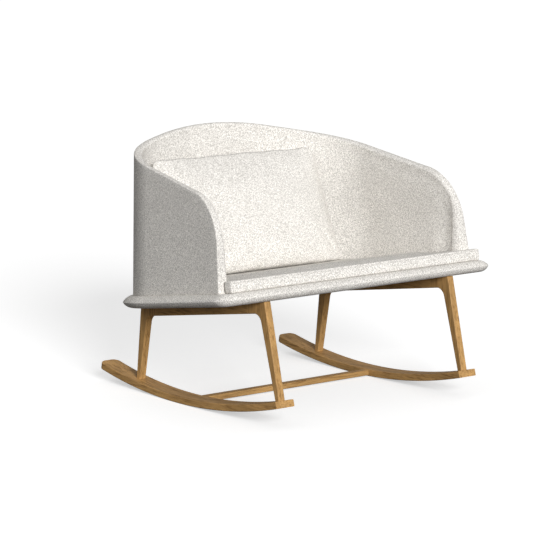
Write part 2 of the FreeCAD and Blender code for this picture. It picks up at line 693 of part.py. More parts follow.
def plate_form(name, inset, front, radius, top, thickness):
    """A level plate with the shell's plan, a straight front edge and rounded front corners."""
    body = new_body(name)
    sketch = new_sketch(body, name + "_plan", "XY_Plane", top)
    half, corner, back = plan_values(inset, "0")
    splay = math.radians(number("shell_splay"))
    half_front = f"{half} - (({front}) + shell_front) * tan(shell_splay * 1deg)"
    start, bend, centre, shoulder, middle_y = plan_points(half_front, corner, back, front)
    size = number(radius)
    shift = size * (1 + math.sin(splay)) / math.cos(splay)
    side_start = (start[0] - shift * math.sin(splay), start[1] + shift * math.cos(splay))
    corner_centre = (side_start[0] - size * math.cos(splay), side_start[1] - size * math.sin(splay))
    front_end = (corner_centre[0], start[1])
    right_arm = line(sketch, side_start, bend)
    right_corner = arc(sketch, centre, number(corner), bend, shoulder)
    rear = arc(sketch, (0, middle_y), number(back), shoulder, mirrored(shoulder))
    left_corner = arc(sketch, mirrored(centre), number(corner), mirrored(shoulder), mirrored(bend))
    left_arm = line(sketch, mirrored(bend), mirrored(side_start))
    left_front = arc(sketch, mirrored(corner_centre), size, mirrored(side_start), mirrored(front_end))
    edge = line(sketch, mirrored(front_end), front_end)
    right_front = arc(sketch, corner_centre, size, front_end, side_start)
    smooth(sketch, (right_arm, 2, right_corner, 1), (right_corner, 2, rear, 1), (rear, 2, left_corner, 1),
           (left_corner, 2, left_arm, 1), (left_arm, 2, left_front, 1), (left_front, 2, edge, 1),
           (edge, 2, right_front, 1), (right_front, 2, right_arm, 1))
    dimension(sketch, "Radius", right_corner, size=corner)
    dimension(sketch, "Radius", left_corner, size=corner)
    dimension(sketch, "Radius", rear, size=back)
    dimension(sketch, "Radius", left_front, size=radius)
    dimension(sketch, "Radius", right_front, size=radius)
    sketch.addConstraint(Sketcher.Constraint("PointOnObject", rear, 3, -2))
    pin(sketch, rear, 3, up="shell_back - shell_back_radius")
    angle(sketch, right_arm, "90 + shell_splay")
    angle(sketch, left_arm, "-90 - shell_splay")
    pin(sketch, edge, 1, up=front)
    run = f"({radius}) * (1 + sin(shell_splay * 1deg)) / cos(shell_splay * 1deg)"
    side_x = f"{half_front} - {run} * sin(shell_splay * 1deg)"
    pin(sketch, right_arm, 1, across=side_x)
    pin(sketch, left_arm, 2, across=f"-({side_x})")
    pad(body, sketch, thickness, downwards=True)
    return body


# The seat

def stud_places():
    """Studs up into the shell panel, in the middle of its thickness: across and along the seat."""
    depth = "shell_outer_pad + seat_gap + shell_panel / 2"
    half, corner, back = plan_values(depth, "stud_rise / 2")
    places = []
    for sign in SIDES.values():
        for i in range(STUDS_PER_ARM):
            along = f"(stud_side_first + {i} * stud_side_pitch)"
            across = f"{sign} * ({half} - ({along} + shell_front) * tan(shell_splay * 1deg))"
            places.append((across, along))
        along = f"shell_back - shell_back_radius + sqrt(({back})^2 - stud_back_place^2)"
        places.append((f"{sign} * stud_back_place", along))
    return places


def seat_bars(name, places, radius, low, high):
    """Round bars square to the seat between two heights over it."""
    return [cylinder(name, radius, f"({high}) - ({low})", (across, seat_y(along, low), seat_z(along, low)),
                     turn="-seat_pitch") for across, along in places]


def threaded_inserts(name, places, radius, low, high):
    sleeves = []
    cores = seat_bars(name + "_core", places, f"{radius} + hole_clearance", low, high)
    rounds = seat_bars(name + "_round", places, "insert_radius", low, high)
    for core, outer in zip(cores, rounds):
        sleeves.append(cut(name + "_sleeve", outer, [core]))
    node(name, group(name, sleeves))


def seat_base(bolts):
    tip = "base_thickness / 2"
    under_board = "board_drop + board_thickness"
    bevel_height = "base_thickness / 2 - base_rim / 2"
    front = "-base_front"
    radius = "base_front_radius"
    board_edge = "board_inset - seat_gap"
    board_front = "-base_front + base_flange + board_inset"
    hollow_front = f"{board_front} - seat_gap"

    upper = plate_form("base_upper_form", "-base_flange", front, radius, "0", tip)
    bevel_face(upper, 1, "base_top_bevel", bevel_height)
    on_seat(upper)
    upper_hollow = plate_form("base_upper_hollow", board_edge, hollow_front, radius,
                              "-board_drop", f"{tip} - board_drop")
    on_seat(upper_hollow)
    lower = plate_form("base_lower_form", "-base_flange", front, radius, f"-({tip})", tip)
    bevel_face(lower, -1, "base_under_bevel", bevel_height)
    on_seat(lower)
    lower_hollow = plate_form("base_lower_hollow", board_edge, hollow_front, radius,
                              f"-({tip})", f"{under_board} - {tip}")
    on_seat(lower_hollow)
    board = plate_form("board_form", "board_inset", board_front, radius, "-board_drop", "board_thickness")
    on_seat(board)

    bolt_spots = [(f"{sign} * frame_spacing / 2", along)
                  for sign in SIDES.values() for along in bolt_places()]
    insert_low = f"-({under_board})"
    insert_length = "board_thickness - insert_short"
    insert_high = f"{insert_low} + {insert_length}"
    stud_low = f"-board_drop - ({insert_length})"
    studs = stud_places()
    stud_holes = seat_bars("stud_hole", studs, "stud_radius + hole_clearance", "-board_drop", "stud_rise")
    lower_bolt_holes = seat_bars("lower_bolt_hole", bolt_spots, "bolt_radius + hole_clearance",
                                 "-base_thickness", insert_low)
    bolt_seats = seat_bars("bolt_seat", bolt_spots, "insert_radius + hole_clearance", insert_low,
                           "-(board_drop + insert_skin)")
    stud_seats = seat_bars("stud_seat", studs, "insert_radius + hole_clearance", stud_low, "-board_drop")

    node("base_top_pad", cut("base_top_pad", upper, [upper_hollow] + stud_holes))
    node("base_under_pad", cut("base_under_pad", lower, [lower_hollow] + lower_bolt_holes))
    node("seat_board", cut("seat_board", board, bolt_seats + stud_seats))
    node("frame_bolts", group("frame_bolts", bolts))
    threaded_inserts("frame_bolt_inserts", bolt_spots, "bolt_radius", insert_low, insert_high)
    threaded_inserts("shell_stud_inserts", studs, "stud_radius", stud_low, "-board_drop")
    bars = seat_bars("shell_stud", studs, "stud_radius", stud_low, "stud_rise")
    node("shell_studs", group("shell_studs", bars))


def shell():
    panel_outer = "shell_outer_pad + seat_gap"
    panel_inner = f"{panel_outer} + shell_panel"
    pad_outer = f"{panel_inner} + seat_gap"
    node("shell_outer_cover", wall_form("shell_outer_form", "0", "shell_outer_pad"))
    node("shell_inner_pad", wall_form("shell_inner_form", pad_outer, "shell_thickness"))
    panel = wall_form("shell_panel_form", panel_outer, panel_inner, "shell_rim_pad")
    holes = seat_bars("panel_stud_hole", stud_places(), "stud_radius + hole_clearance", "0", "stud_rise")
    node("shell_panel", cut("shell_panel", panel, holes))
    whole = wall_form("shell_rim_form", panel_outer, panel_inner)
    gap = wall_form("shell_rim_hollow", f"{panel_outer} - seat_gap", f"{panel_inner} + seat_gap",
                    "shell_rim_pad - seat_gap")
    node("shell_rim_roll", cut("shell_rim_roll", whole, [gap]))


# The loose cushions

def cushion_form(name, shrink):
    """The seat cushion: it fills the shell and its front strip runs across before the arms."""
    body = new_body(name)
    sketch = new_sketch(body, name + "_plan", "XY_Plane", f"seat_gap + ({shrink})")
    inset = f"shell_thickness + cushion_clearance + ({shrink})"
    neck = f"-shell_front - arm_clearance - ({shrink})"
    front = f"-cushion_front + ({shrink})"
    wide = f"shell_half_width + cushion_overhang - ({shrink})"
    right_arm, left_arm, start = plan_chain(sketch, inset, "0", neck)
    spots = [(number(wide), number(neck)), (number(wide), number(front))]
    right_neck = line(sketch, start, spots[0])
    right_end = line(sketch, spots[0], spots[1])
    edge = line(sketch, spots[1], mirrored(spots[1]))
    left_end = line(sketch, mirrored(spots[1]), mirrored(spots[0]))
    left_neck = line(sketch, mirrored(spots[0]), mirrored(start))
    join(sketch, (right_arm, 1, right_neck, 1), (right_neck, 2, right_end, 1), (right_end, 2, edge, 1),
         (edge, 2, left_end, 1), (left_end, 2, left_neck, 1), (left_neck, 2, left_arm, 2))
    pin(sketch, right_end, 1, wide, neck)
    pin(sketch, right_end, 2, wide, front)
    pin(sketch, left_end, 1, f"-({wide})", front)
    pin(sketch, left_end, 2, f"-({wide})", neck)
    pad(body, sketch, f"cushion_thickness - seat_gap - 2 * ({shrink})")
    on_seat(body)
    return body


def foam_pad(body, name, shrink, outline):
    """A level slab of foam in the cushion's cover, with the outline that a function draws."""
    sketch = new_sketch(body, name + "_plan", "XY_Plane", f"seat_gap + ({shrink})")
    outline(sketch)
    pad(body, sketch, f"cushion_thickness - seat_gap - 2 * ({shrink})")
    on_seat(body)
    return body


def seat_foam(name, shrink):
    """The foam that fills the shell behind the front strip."""
    def outline(sketch):
        inset = f"shell_thickness + cushion_clearance + ({shrink})"
        neck = f"-shell_front - arm_clearance - ({shrink}) + fill_gap"
        right_arm, left_arm, start = plan_chain(sketch, inset, "0", neck)
        edge = line(sketch, mirrored(start), start)
        join(sketch, (left_arm, 2, edge, 1), (edge, 2, right_arm, 1))

    return foam_pad(new_body(name), name, shrink, outline)


def front_foam(name, shrink):
    """The foam of the front strip, which runs across before the arms."""
    def outline(sketch):
        wide = f"shell_half_width + cushion_overhang - ({shrink})"
        front = f"-cushion_front + ({shrink})"
        neck = f"-shell_front - arm_clearance - ({shrink})"
        polygon(sketch, [(f"-({wide})", front), (wide, front), (wide, neck), (f"-({wide})", neck)])

    return foam_pad(new_body(name), name, shrink, outline)


def seat_cushion():
    outer = cushion_form("cushion_cover_form", "0")
    hollow = cushion_form("cushion_hollow", "cover_thickness")
    node("seat_cushion_cover", cut("seat_cushion_cover", outer, [hollow]))
    node("seat_cushion_foam", seat_foam("seat_cushion_foam", "cover_thickness + fill_gap"))
    node("front_strip_foam", front_foam("front_strip_foam", "cover_thickness + fill_gap"))


def pillow_ring(body, name, depth, draw_in, shrink):
    """One upright section of the pillow, a rectangle with round corners."""
    sketch = new_sketch(body, name, "XZ_Plane", depth)
    half = f"pillow_width / 2 - ({draw_in}) - ({shrink})"
    low = f"({draw_in}) + ({shrink})"
    high = f"pillow_height - ({draw_in}) - ({shrink})"
    radius = "pillow_corner_radius"
    size = number(radius)
    x, z_low, z_high = number(half), number(low), number(high)
    under = line(sketch, (-x + size, z_low), (x - size, z_low))
    low_right = arc(sketch, (x - size, z_low + size), size, (x - size, z_low), (x, z_low + size))
    right = line(sketch, (x, z_low + size), (x, z_high - size))
    high_right = arc(sketch, (x - size, z_high - size), size, (x, z_high - size), (x - size, z_high))
    top = line(sketch, (x - size, z_high), (-x + size, z_high))
    high_left = arc(sketch, (-x + size, z_high - size), size, (-x + size, z_high), (-x, z_high - size))
    left = line(sketch, (-x, z_high - size), (-x, z_low + size))
    low_left = arc(sketch, (-x + size, z_low + size), size, (-x, z_low + size), (-x + size, z_low))
    ring = [under, low_right, right, high_right, top, high_left, left, low_left]
    smooth(sketch, *[(ring[i], 2, ring[(i + 1) % 8], 1) for i in range(8)])
    for bend in (low_right, high_right, high_left, low_left):
        dimension(sketch, "Radius", bend, size=radius)
    pin(sketch, under, 1, up=low)
    pin(sketch, top, 1, up=high)
    pin(sketch, right, 1, across=half)
    pin(sketch, left, 1, across=f"-({half})")
    return sketch


def pillow_form(name, shrink):
    """The pillow stands on its lower edge: its faces draw in from the seam in two steps each way."""
    body = new_body(name)
    reach = f"(pillow_thickness / 2 - ({shrink}))"
    steps = [(-1, "1"), (-1, "pillow_belly"), (1, "0"), (1, "pillow_belly"), (1, "1")]
    rings = []
    for i, (sense, share) in enumerate(steps):
        depth = f"{sense} * {reach} * {share}"
        draw_in = f"pillow_crown * ({share})^2"
        rings.append(pillow_ring(body, f"{name}_ring_{i}", depth, draw_in, shrink))
    loft = body.newObject("PartDesign::AdditiveLoft", name + "_loft")
    loft.Profile = rings[0]
    loft.Sections = rings[1:]
    loft.Ruled = True
    doc.recompute()
    return body


def wall_inner_y(x, above):
    """The inner face of the padded back, at a place across and a height over the seat."""
    half, corner, back = plan_values("shell_thickness", f"{above}")
    start, bend, centre, shoulder, middle_y = plan_points(half, corner, back, "-shell_front")
    if x < shoulder[0]:
        return middle_y + math.sqrt(number(back) ** 2 - x ** 2)
    return centre[1] + math.sqrt(max(number(corner) ** 2 - (x - centre[0]) ** 2, 0))


def lean_pillow(bodies):
    """Stand the pillow on the seat cushion and lean it back until it meets the padded wall."""
    lean = FreeCAD.Rotation(V(1, 0, 0), -number("pillow_lean"))
    turned = bodies[0].Shape.copy()
    turned.Placement = FreeCAD.Placement(V(0, 0, 0), lean)
    rest = number("cushion_thickness + seat_gap") - turned.optimalBoundingBox(False).ZMin
    points = turned.tessellate(1.0)[0]
    room = min(wall_inner_y(abs(p.x), p.z + rest) - p.y for p in points)
    local = FreeCAD.Placement(V(0, room - number("pillow_back_gap"), rest), lean)
    pitch = FreeCAD.Rotation(V(1, 0, 0), -number("seat_pitch"))
    seat = FreeCAD.Placement(V(0, number("seat_origin_y"), number("seat_origin_z")), pitch)
    for body in bodies:
        body.Placement = seat.multiply(local)


def back_pillow():
    outer = pillow_form("pillow_cover_form", "0")
    hollow = pillow_form("pillow_hollow", "cover_thickness")
    filling = pillow_form("back_pillow_filling", "cover_thickness + fill_gap")
    lean_pillow([outer, hollow, filling])
    node("back_pillow_cover", cut("back_pillow_cover", outer, [hollow]))
    node("back_pillow_filling", filling)


def build():
    foot_dowels = []
    rail_dowels = []
    stretcher_dowels = []
    stretcher_holes = []
    bolts = []
    for side, sign in SIDES.items():
        feet, rails, ends, holes, side_bolts = frame_side(side, sign)
        foot_dowels += feet
        rail_dowels += rails
        stretcher_dowels += ends
        stretcher_holes += holes
        bolts += side_bolts
    stretcher(stretcher_holes)
    node("foot_dowels", group("foot_dowels", foot_dowels))
    node("rail_dowels", group("rail_dowels", rail_dowels))
    node("stretcher_dowels", group("stretcher_dowels", stretcher_dowels))
    seat_base(bolts)
    shell()
    seat_cushion()
    back_pillow()
    doc.recompute()


def check():
    for item in doc.Objects:
        if {"Invalid", "Error"} & set(item.State):
            raise RuntimeError(f"{item.Name} failed: {item.State}")
    for label, thing in nodes.items():
        if thing.Shape.isNull() or not thing.Shape.isValid() or not thing.Shape.Solids:
            raise RuntimeError(f"{label} has no valid solid")


def export():
    os.makedirs("parts", exist_ok=True)
    for label, thing in nodes.items():
        thing.Shape.exportStep(f"parts/{label}.step")


build()
check()
export()
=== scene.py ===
import math

import bmesh
import bpy
from bpy.props import FloatProperty, FloatVectorProperty, PointerProperty
from mathutils import Matrix, Vector


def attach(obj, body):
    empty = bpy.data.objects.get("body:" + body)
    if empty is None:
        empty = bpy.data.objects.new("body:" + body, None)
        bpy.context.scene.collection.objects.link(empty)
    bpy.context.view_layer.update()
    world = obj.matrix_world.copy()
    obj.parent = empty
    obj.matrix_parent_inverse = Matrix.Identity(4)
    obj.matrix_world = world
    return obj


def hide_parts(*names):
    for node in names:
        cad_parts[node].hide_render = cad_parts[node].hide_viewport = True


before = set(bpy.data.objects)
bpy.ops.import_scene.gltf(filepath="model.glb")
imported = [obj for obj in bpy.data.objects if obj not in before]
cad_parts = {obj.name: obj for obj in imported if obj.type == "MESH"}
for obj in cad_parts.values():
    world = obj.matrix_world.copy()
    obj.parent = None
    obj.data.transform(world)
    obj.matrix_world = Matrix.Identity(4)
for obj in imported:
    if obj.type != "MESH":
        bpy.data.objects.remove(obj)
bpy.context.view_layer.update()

bl_info = {
    "name": "Rocking love seat",
    "version": (1, 0, 0),
    "blender": (4, 5, 0),
    "location": "View3D > Sidebar > Rocking seat",
    "description": "Dresses the rocking love seat: upholstered base and shell, loose cushions, teak frames",
    "category": "Object",
}


def length(name, description, default):
    """A length that a user may change, in metres."""
    return FloatProperty(name=name, description=description, default=default, unit="LENGTH", precision=4)


def tilt(name, description, degrees):
    """An angle that a user may change, given in degrees."""
    return FloatProperty(name=name, description=description, default=math.radians(degrees), subtype="ANGLE")


def amount(name, description, default):
    """A strength that a user may change, never negative."""
    return FloatProperty(name=name, description=description, default=default, min=0.0)


def tint(name, description, default):
    """A colour that a user may change."""
    return FloatVectorProperty(name=name, description=description, default=default, subtype="COLOR",
                               size=3, min=0.0, max=1.0)


# Sizes and finishes

class SeatPlan(bpy.types.PropertyGroup):
    """Where the tilted seat lies and the plan that its shell, base and cushion share."""
    origin_y: length("Seat origin Y", "Origin of the seat's own frame", -0.120)
    origin_z: length("Seat origin Z", "Top of the base at that origin", 0.358)
    pitch: tilt("Pitch", "Backward tilt of the seat", 9)
    half_width: length("Half width", "Half width over the arms at their front ends", 0.4837)
    splay: tilt("Splay", "How much the arms open to the front", 3.5)
    front: length("Arm front", "Front ends of the arms", -0.190)
    back: length("Back", "Outer face of the back", 0.498)
    back_radius: length("Back radius", "Plan radius of the back", 0.941)
    corner_radius: length("Corner radius", "Plan radius of the rear corners", 0.305)
    back_lean: tilt("Back lean", "Inward lean of the back", 7.6)
    side_lean: tilt("Side lean", "Inward lean of the arms", 4.8)


class ShellSizes(bpy.types.PropertyGroup):
    """The upholstered wall."""
    thickness: length("Thickness", "Thickness of the padded wall", 0.042)
    rim_height: length("Rim height", "Height of the sloping rim over the seat's origin", 0.322)
    rim_slope: tilt("Rim slope", "Rise of the rim to the back", 18.5)
    crown: length("Crown", "Extra rise in the middle of the back", 0.030)
    crown_reach: length("Crown reach", "Half width of that rise", 0.420)
    arm_radius: length("Arm radius", "Curve from the rim down to the arm's front", 0.172)
    thin: length("Thin", "Thickness above the seat cushion", 0.028)
    full_height: length("Full height", "Height up to which the padding is full", 0.035)
    thinning: length("Thinning", "Height over which it thins out", 0.130)
    arm_edge: length("Arm edge", "Flat width of the arms' front ends at their feet", 0.029)
    back_edge: length("Back edge", "Flat width of the rim along the back", 0.006)
    edge_run: length("Edge run", "Way up the rim over which that width shrinks", 0.500)
    crest: length("Crest", "Thickness of the arms' front ends at their feet", 0.0455)
    rim: length("Rim", "Thickness of the rim along the back", 0.0248)
    crest_run: length("Crest run", "Way up the arms' front ends over which it falls", 0.200)
    arm_roll: length("Arm roll", "Depth of the rounding at the arms' feet", 0.036)
    corner_roll: length("Corner roll", "Depth of the rounding at the arms' upper corners", 0.010)
    back_roll: length("Back roll", "Depth of the rounding along the back", 0.010)
    edge: length("Edge", "Rounding of the outer edge", 0.003)
    dip: length("Dip", "How far the padding falls back behind the arms' front ends", 0.006)
    tuck: length("Tuck", "How far the cover turns in at its foot", 0.002)


class BaseSizes(bpy.types.PropertyGroup):
    """The padded base under the shell."""
    thickness: length("Thickness", "Thickness of the base", 0.036)
    flange: length("Flange", "Reach beyond the shell", 0.032)
    front: length("Front", "Front edge of the base", -0.257)
    front_radius: length("Front radius", "Plan radius of the front corners", 0.045)
    upper_slope: length("Upper slope", "Width of the curve on the upper edge", 0.033)
    under_slope: length("Under slope", "Width of the curve on the lower edge", 0.026)
    nose: length("Nose", "Height of the blunt tip", 0.003)


class CushionSizes(bpy.types.PropertyGroup):
    """The loose seat cushion."""
    thickness: length("Thickness", "Thickness at the front edge", 0.035)
    sag: length("Sag", "How far the pillow presses it down", 0.009)
    front: length("Front", "Front edge", -0.229)
    half_width: length("Half width", "Half width of the front strip", 0.487)
    clearance: length("Clearance", "Gap to the padded wall", 0.005)
    arm_gap: length("Arm gap", "Gap before the arms' ends", 0.008)
    corner: length("Corner", "Plan radius of the front corners", 0.006)
    left_short: length("Left end", "How far the front strip stops short on the left", 0.022)
    seam_drop: length("Seam drop", "Seam below the upper edge", 0.007)
    seam_depth: length("Seam depth", "Depth of the seam", 0.0008)
    edge: length("Edge", "Rounding of the upper and lower edges", 0.0025)
    mesh_step: length("Mesh step", "Grid of the cover", 0.012)
    swell: length("Swell", "Most that the cover may swell", 0.008)
    pressure: amount("Pressure", "Pressure of the filling", 0.2)


class PillowSizes(bpy.types.PropertyGroup):
    """The loose back pillow."""
    width: length("Width", "Width along the seam", 0.628)
    height: length("Height", "Height along the seam", 0.366)
    thickness: length("Thickness", "Thickness before it swells", 0.104)
    corner: length("Corner", "Radius of the seam's corners", 0.040)
    lean: tilt("Lean", "Backward lean from the seat's normal", 10)
    mesh_step: length("Mesh step", "Grid of the cover", 0.007)
    swell: length("Swell", "Most that the cover may swell", 0.030)
    pressure: amount("Pressure", "Pressure of the filling", 4.0)
    wave: length("Wave", "Waviness of the upper edge", 0.0025)
    left_rise: length("Left rise", "How much higher the left end of the upper edge stands", 0.004)
    top_rise: length("Top rise", "How much higher the whole upper edge stands", 0.005)
    lift: length("Lift", "Height of the seat cushion's crown under it", 0.007)
    slump: length("Slump", "How far its lower edge slides forwards", 0.030)
    lower_edge: length("Lower edge", "Rounding of the edge on the seat", 0.009)
    sink: length("Sink", "How much of its lower edge is pressed flat on the seat", 0.020)
    # Width of the band of painted shadow along the crease on the seat
    crease_shadow: length("Crease", "Width of the crease where it meets the seat", 0.004)


class Finishes(bpy.types.PropertyGroup):
    """Colours of the fabric and the teak."""
    ivory: tint("Ivory", "Light yarn of the fabric", (1.0, 0.97, 0.92))
    fleck: tint("Fleck", "Grey-beige yarn of the fabric", (0.53, 0.507, 0.472))
    # Colour of the painted shade along seams, creases and gaps
    seam_shade: tint("Seam shade", "Depth of a seam", (0.36, 0.345, 0.32))
    teak_light: tint("Teak light", "Light teak", (0.60, 0.35, 0.13))
    teak_dark: tint("Teak dark", "Dark teak grain", (0.24, 0.12, 0.038))


class StageSizes(bpy.types.PropertyGroup):
    """Camera, floor and light."""
    camera: FloatVectorProperty(name="Camera", description="Place of the camera",
                                default=(-5.1315, -6.4749, 1.7601), subtype="TRANSLATION", size=3)
    elevation: tilt("Elevation", "How far the camera looks down", 9.775)
    azimuth: tilt("Azimuth", "Turn of the camera round the seat", -38.30)
    lens: FloatProperty(name="Lens", description="Focal length", default=177.2, unit="CAMERA")
    key: amount("Key", "Strength of the front light", 3.05)
    key_turn: tilt("Key turn", "Turn of the front light to the right", -20)
    key_rise: tilt("Key rise", "Height of the front light", 20)
    key_spread: tilt("Key spread", "Softness of the front light", 22)
    world: amount("World", "Even light all round", 0.36)
    floor_glow: amount("Floor glow", "Own light of the white floor", 0.51)


SETTINGS = {
    "seat_plan": SeatPlan,
    "seat_shell": ShellSizes,
    "seat_base": BaseSizes,
    "seat_cushion": CushionSizes,
    "back_pillow": PillowSizes,
    "finishes": Finishes,
    "stage": StageSizes,
}


# The plan of the seat, in the seat's own level frame

class Plan:
    """The U of the shell's plan at an inset from its outer face and a height over the base."""

    def __init__(self, seat, inset, above):
        back = math.tan(seat.back_lean)
        side = math.tan(seat.side_lean)
        self.splay = seat.splay
        self.half = seat.half_width - inset / math.cos(seat.splay) - above * side
        self.corner_radius = seat.corner_radius - inset - above * (back + side) / 2
        self.back_radius = seat.back_radius - inset - above * back
        self.back_centre = Vector((0, seat.back - seat.back_radius))
        self.start = Vector((self.half, seat.front))
        self.along = Vector((-math.sin(seat.splay), math.cos(seat.splay)))
        inward = Vector((-math.cos(seat.splay), -math.sin(seat.splay)))
        base = self.start + inward * self.corner_radius
        reach = base - self.back_centre
        onward = reach.dot(self.along)
        spare = reach.length_squared - (self.back_radius - self.corner_radius) ** 2
        self.run = -onward + math.sqrt(onward * onward - spare)
        self.corner_centre = base + self.along * self.run
        self.bend = self.start + self.along * self.run
        toward = (self.corner_centre - self.back_centre).normalized()
        self.shoulder = self.back_centre + toward * self.back_radius
        self.back_turn = math.atan2(toward.x, toward.y)
        self.corner_turn = math.pi / 2 - seat.splay - self.back_turn

    def lengths(self):
        """From the middle of the back: half the back, the corner and the arm."""
        return (self.back_radius * self.back_turn, self.corner_radius * self.corner_turn, self.run)

    def place(self, part, share):
        """A point of the right half: part 0 is the back, 1 the corner and 2 the arm."""
        if part == 0:
            turn = self.back_turn * share
            return self.back_centre + Vector((math.sin(turn), math.cos(turn))) * self.back_radius
        if part == 1:
            turn = self.back_turn + self.corner_turn * share
            return self.corner_centre + Vector((math.sin(turn), math.cos(turn))) * self.corner_radius
        return self.bend - self.along * self.run * share


def seat_matrix(seat):
    """From the seat's level frame to the tilted seat."""
    return Matrix.Translation((0, seat.origin_y, seat.origin_z)) @ Matrix.Rotation(-seat.pitch, 4, "X")


def part_and_share(lengths, run):
    for part, size in enumerate(lengths[:-1]):
        if run <= size:
            return part, run / size
        run -= size
    return len(lengths) - 1, run / lengths[-1]


# Rows of the shell's cover over its rim: outer face, outer edge, flat, roll and the flank inside
OUTER_ROWS = ((0.030, 0.0), (0.012, 0.0))   # distance in from the rim, depth
EDGE_ROWS = 5
ROLL_ROWS = 15
FLANK_ROWS = 16
CREST_ROW = len(OUTER_ROWS) + EDGE_ROWS + 1 + ROLL_ROWS - 1
EDGE_FALL = 0.75        # how the rim's flat width shrinks up the arm
FLANK_WIDTH = 0.060     # along the back
ARM_FLANK = 0.030       # extra width at the arms
FLANK_SPACING = 1.3     # the flank's rows lie closer at the rim
FALL_ROWS = 9           # rows over which the crest falls to the padding
FALL = 1.5              # how quickly it falls
RISE_ROW = 5            # row from which the padding grows to its full depth
ARM_WAY, ARM_FADE = 0.12, 0.2     # way up the rim that counts as an arm's front end, and its fading
BACK_WAY, BACK_FADE = 0.3, 0.2    # way up the rim where the back's rounding begins, and its fading
# Painted shade along the crest of the arms' rounding, where it turns away from the light
CREST_SHADE_WAY = 0.36         # way up the rim along which the painted shade on the crest shows
CREST_SHADE = 0.4

# Steps of the shell's mesh
RIM_STEP = 0.012
RIM_TRIES = 12          # rounds until the rim's height settles
ARM_STEPS = 14
BEND_STEP = 0.014
TUCK_HEIGHT = 0.004
FOOT_CUTS = [TUCK_HEIGHT, 0.008]
HEIGHT_STEP = 0.025
HEIGHT_CUTS = 21


class Wall:
    """Wraps a flat panel round the seat: run along the wall, depth into it, height up it."""

    def __init__(self, seat, shell):
        self.seat = seat
        self.shell = shell
        self.lengths = Plan(seat, 0, 0).lengths()
        self.reach = sum(self.lengths)
        self.top = shell.rim_height + seat.back * math.tan(shell.rim_slope) + shell.crown
        self.plans = {}

    def plan(self, inset, above):
        key = (round(inset, 6), above)
        if key not in self.plans:
            self.plans[key] = Plan(self.seat, inset, above)
        return self.plans[key]

    def point(self, run, depth, height):
        part, share = part_and_share(self.lengths, abs(run))
        low = self.plan(depth, 0).place(part, share)
        high = self.plan(depth, self.top).place(part, share)
        spot = low.lerp(high, height / self.top)
        return Vector((math.copysign(spot.x, run) if run else spot.x, spot.y, height))

    def crown(self, x):
        """The swelling of the rim over the middle of the back."""
        reach = self.shell.crown_reach
        x = min(abs(x), reach)
        radius = (reach ** 2 + self.shell.crown ** 2) / 4 / self.shell.crown
        if x < reach / 2:
            return self.shell.crown - radius + math.sqrt(radius ** 2 - x ** 2)
        return radius - math.sqrt(radius ** 2 - (reach - x) ** 2)

    def rim(self, run):
        """Height of the rim at a place along the wall."""
        height = self.shell.rim_height
        for _ in range(RIM_TRIES):
            spot = self.point(run, 0, height)
            rise = spot.y * math.tan(self.shell.rim_slope)
            height = self.shell.rim_height + rise + self.crown(spot.x) / math.cos(self.shell.rim_slope)
        return height

    def arm_outline(self, steps):
        """From the foot of the arm's front end up its edge, round its corner and on to the sloping rim."""
        radius = self.shell.arm_radius
        slope = self.shell.rim_slope
        lean = 1 / math.cos(self.seat.splay)
        centre_y = self.seat.front + radius
        centre_z = self.shell.rim_height + centre_y * math.tan(slope) - radius / math.cos(slope)
        outline = [(0.0, centre_z * i / steps) for i in range(steps)]
        for i in range(steps * 2 + 1):
            turn = (math.pi / 2 - slope) * i / (steps * 2)
            outline.append((radius * (1 - math.cos(turn)) * lean, centre_z + radius * math.sin(turn)))
        return outline

    def outline(self, step):
        """The rim of the flat panel as run and height, from the right arm's foot to the left one's."""
        arm = self.arm_outline(ARM_STEPS)
        first = self.reach - arm[-1][0]
        count = int(first / step)
        rim = [(first * (1 - i / count), self.rim(first * (1 - i / count))) for i in range(1, count + 1)]
        right = [(self.reach - along, height) for along, height in arm]
        left = [(-run, height) for run, height in reversed(right)]
        return [Vector(p) for p in right + rim + [(-run, up) for run, up in reversed(rim[:-1])] + left]

    def padding(self, height):
        """Thickness of the wall: full behind the seat cushion, thinner above it."""
        shell = self.shell
        above = ease((height - shell.full_height) / shell.thinning)
        return shell.thickness - (shell.thickness - shell.thin) * above

    def profile(self, way, point, normal):
        """Distance in from the rim and depth, over the rim from the outer face to the inner one.

        The way is measured up the rim from an arm's foot: there the rim is full and stands out, farther up
        it grows thin.
        """
        shell = self.shell
        foot = max(0.0, 1 - way / shell.crest_run)
        crest = shell.rim + (shell.crest - shell.rim) * foot
        shrunk = min(1.0, way / shell.edge_run) ** EDGE_FALL
        start = shell.arm_edge - (shell.arm_edge - shell.back_edge) * shrunk
        reach = (shell.corner_roll + (shell.arm_roll - shell.corner_roll) * foot
                 + (shell.back_roll - shell.corner_roll) * ease((way - BACK_WAY) / BACK_FADE))
        rows = list(OUTER_ROWS)
        for i in range(EDGE_ROWS):
            turn = math.pi / 2 * i / (EDGE_ROWS - 1)
            rows.append((shell.edge * (1 - math.sin(turn)), shell.edge * (1 - math.cos(turn))))
        rows.append((0.0, (shell.edge + start) / 2))
        for i in range(ROLL_ROWS):
            turn = math.pi / 2 * i / (ROLL_ROWS - 1)
            rows.append((reach * (1 - math.cos(turn)), start + (crest - start) * math.sin(turn)))
        near = 1 - ease((way - ARM_WAY) / ARM_FADE)
        for i in range(1, FLANK_ROWS + 1):
            within = reach + (FLANK_WIDTH + ARM_FLANK * near) * (i / FLANK_ROWS) ** FLANK_SPACING
            full = self.padding(point.y + normal.y * within)
            low = max(shell.rim, min(full, crest - shell.dip * near))
            fall = low + (crest - low) * max(0.0, 1 - i / FALL_ROWS) ** FALL
            rows.append((within, fall + (full - low) * ease((i - RISE_ROW) / (FLANK_ROWS - RISE_ROW))))
        return rows


def ease(share):
    """A smooth step from 0 to 1."""
    share = min(1.0, max(0.0, share))
    return share * share * (3 - 2 * share)


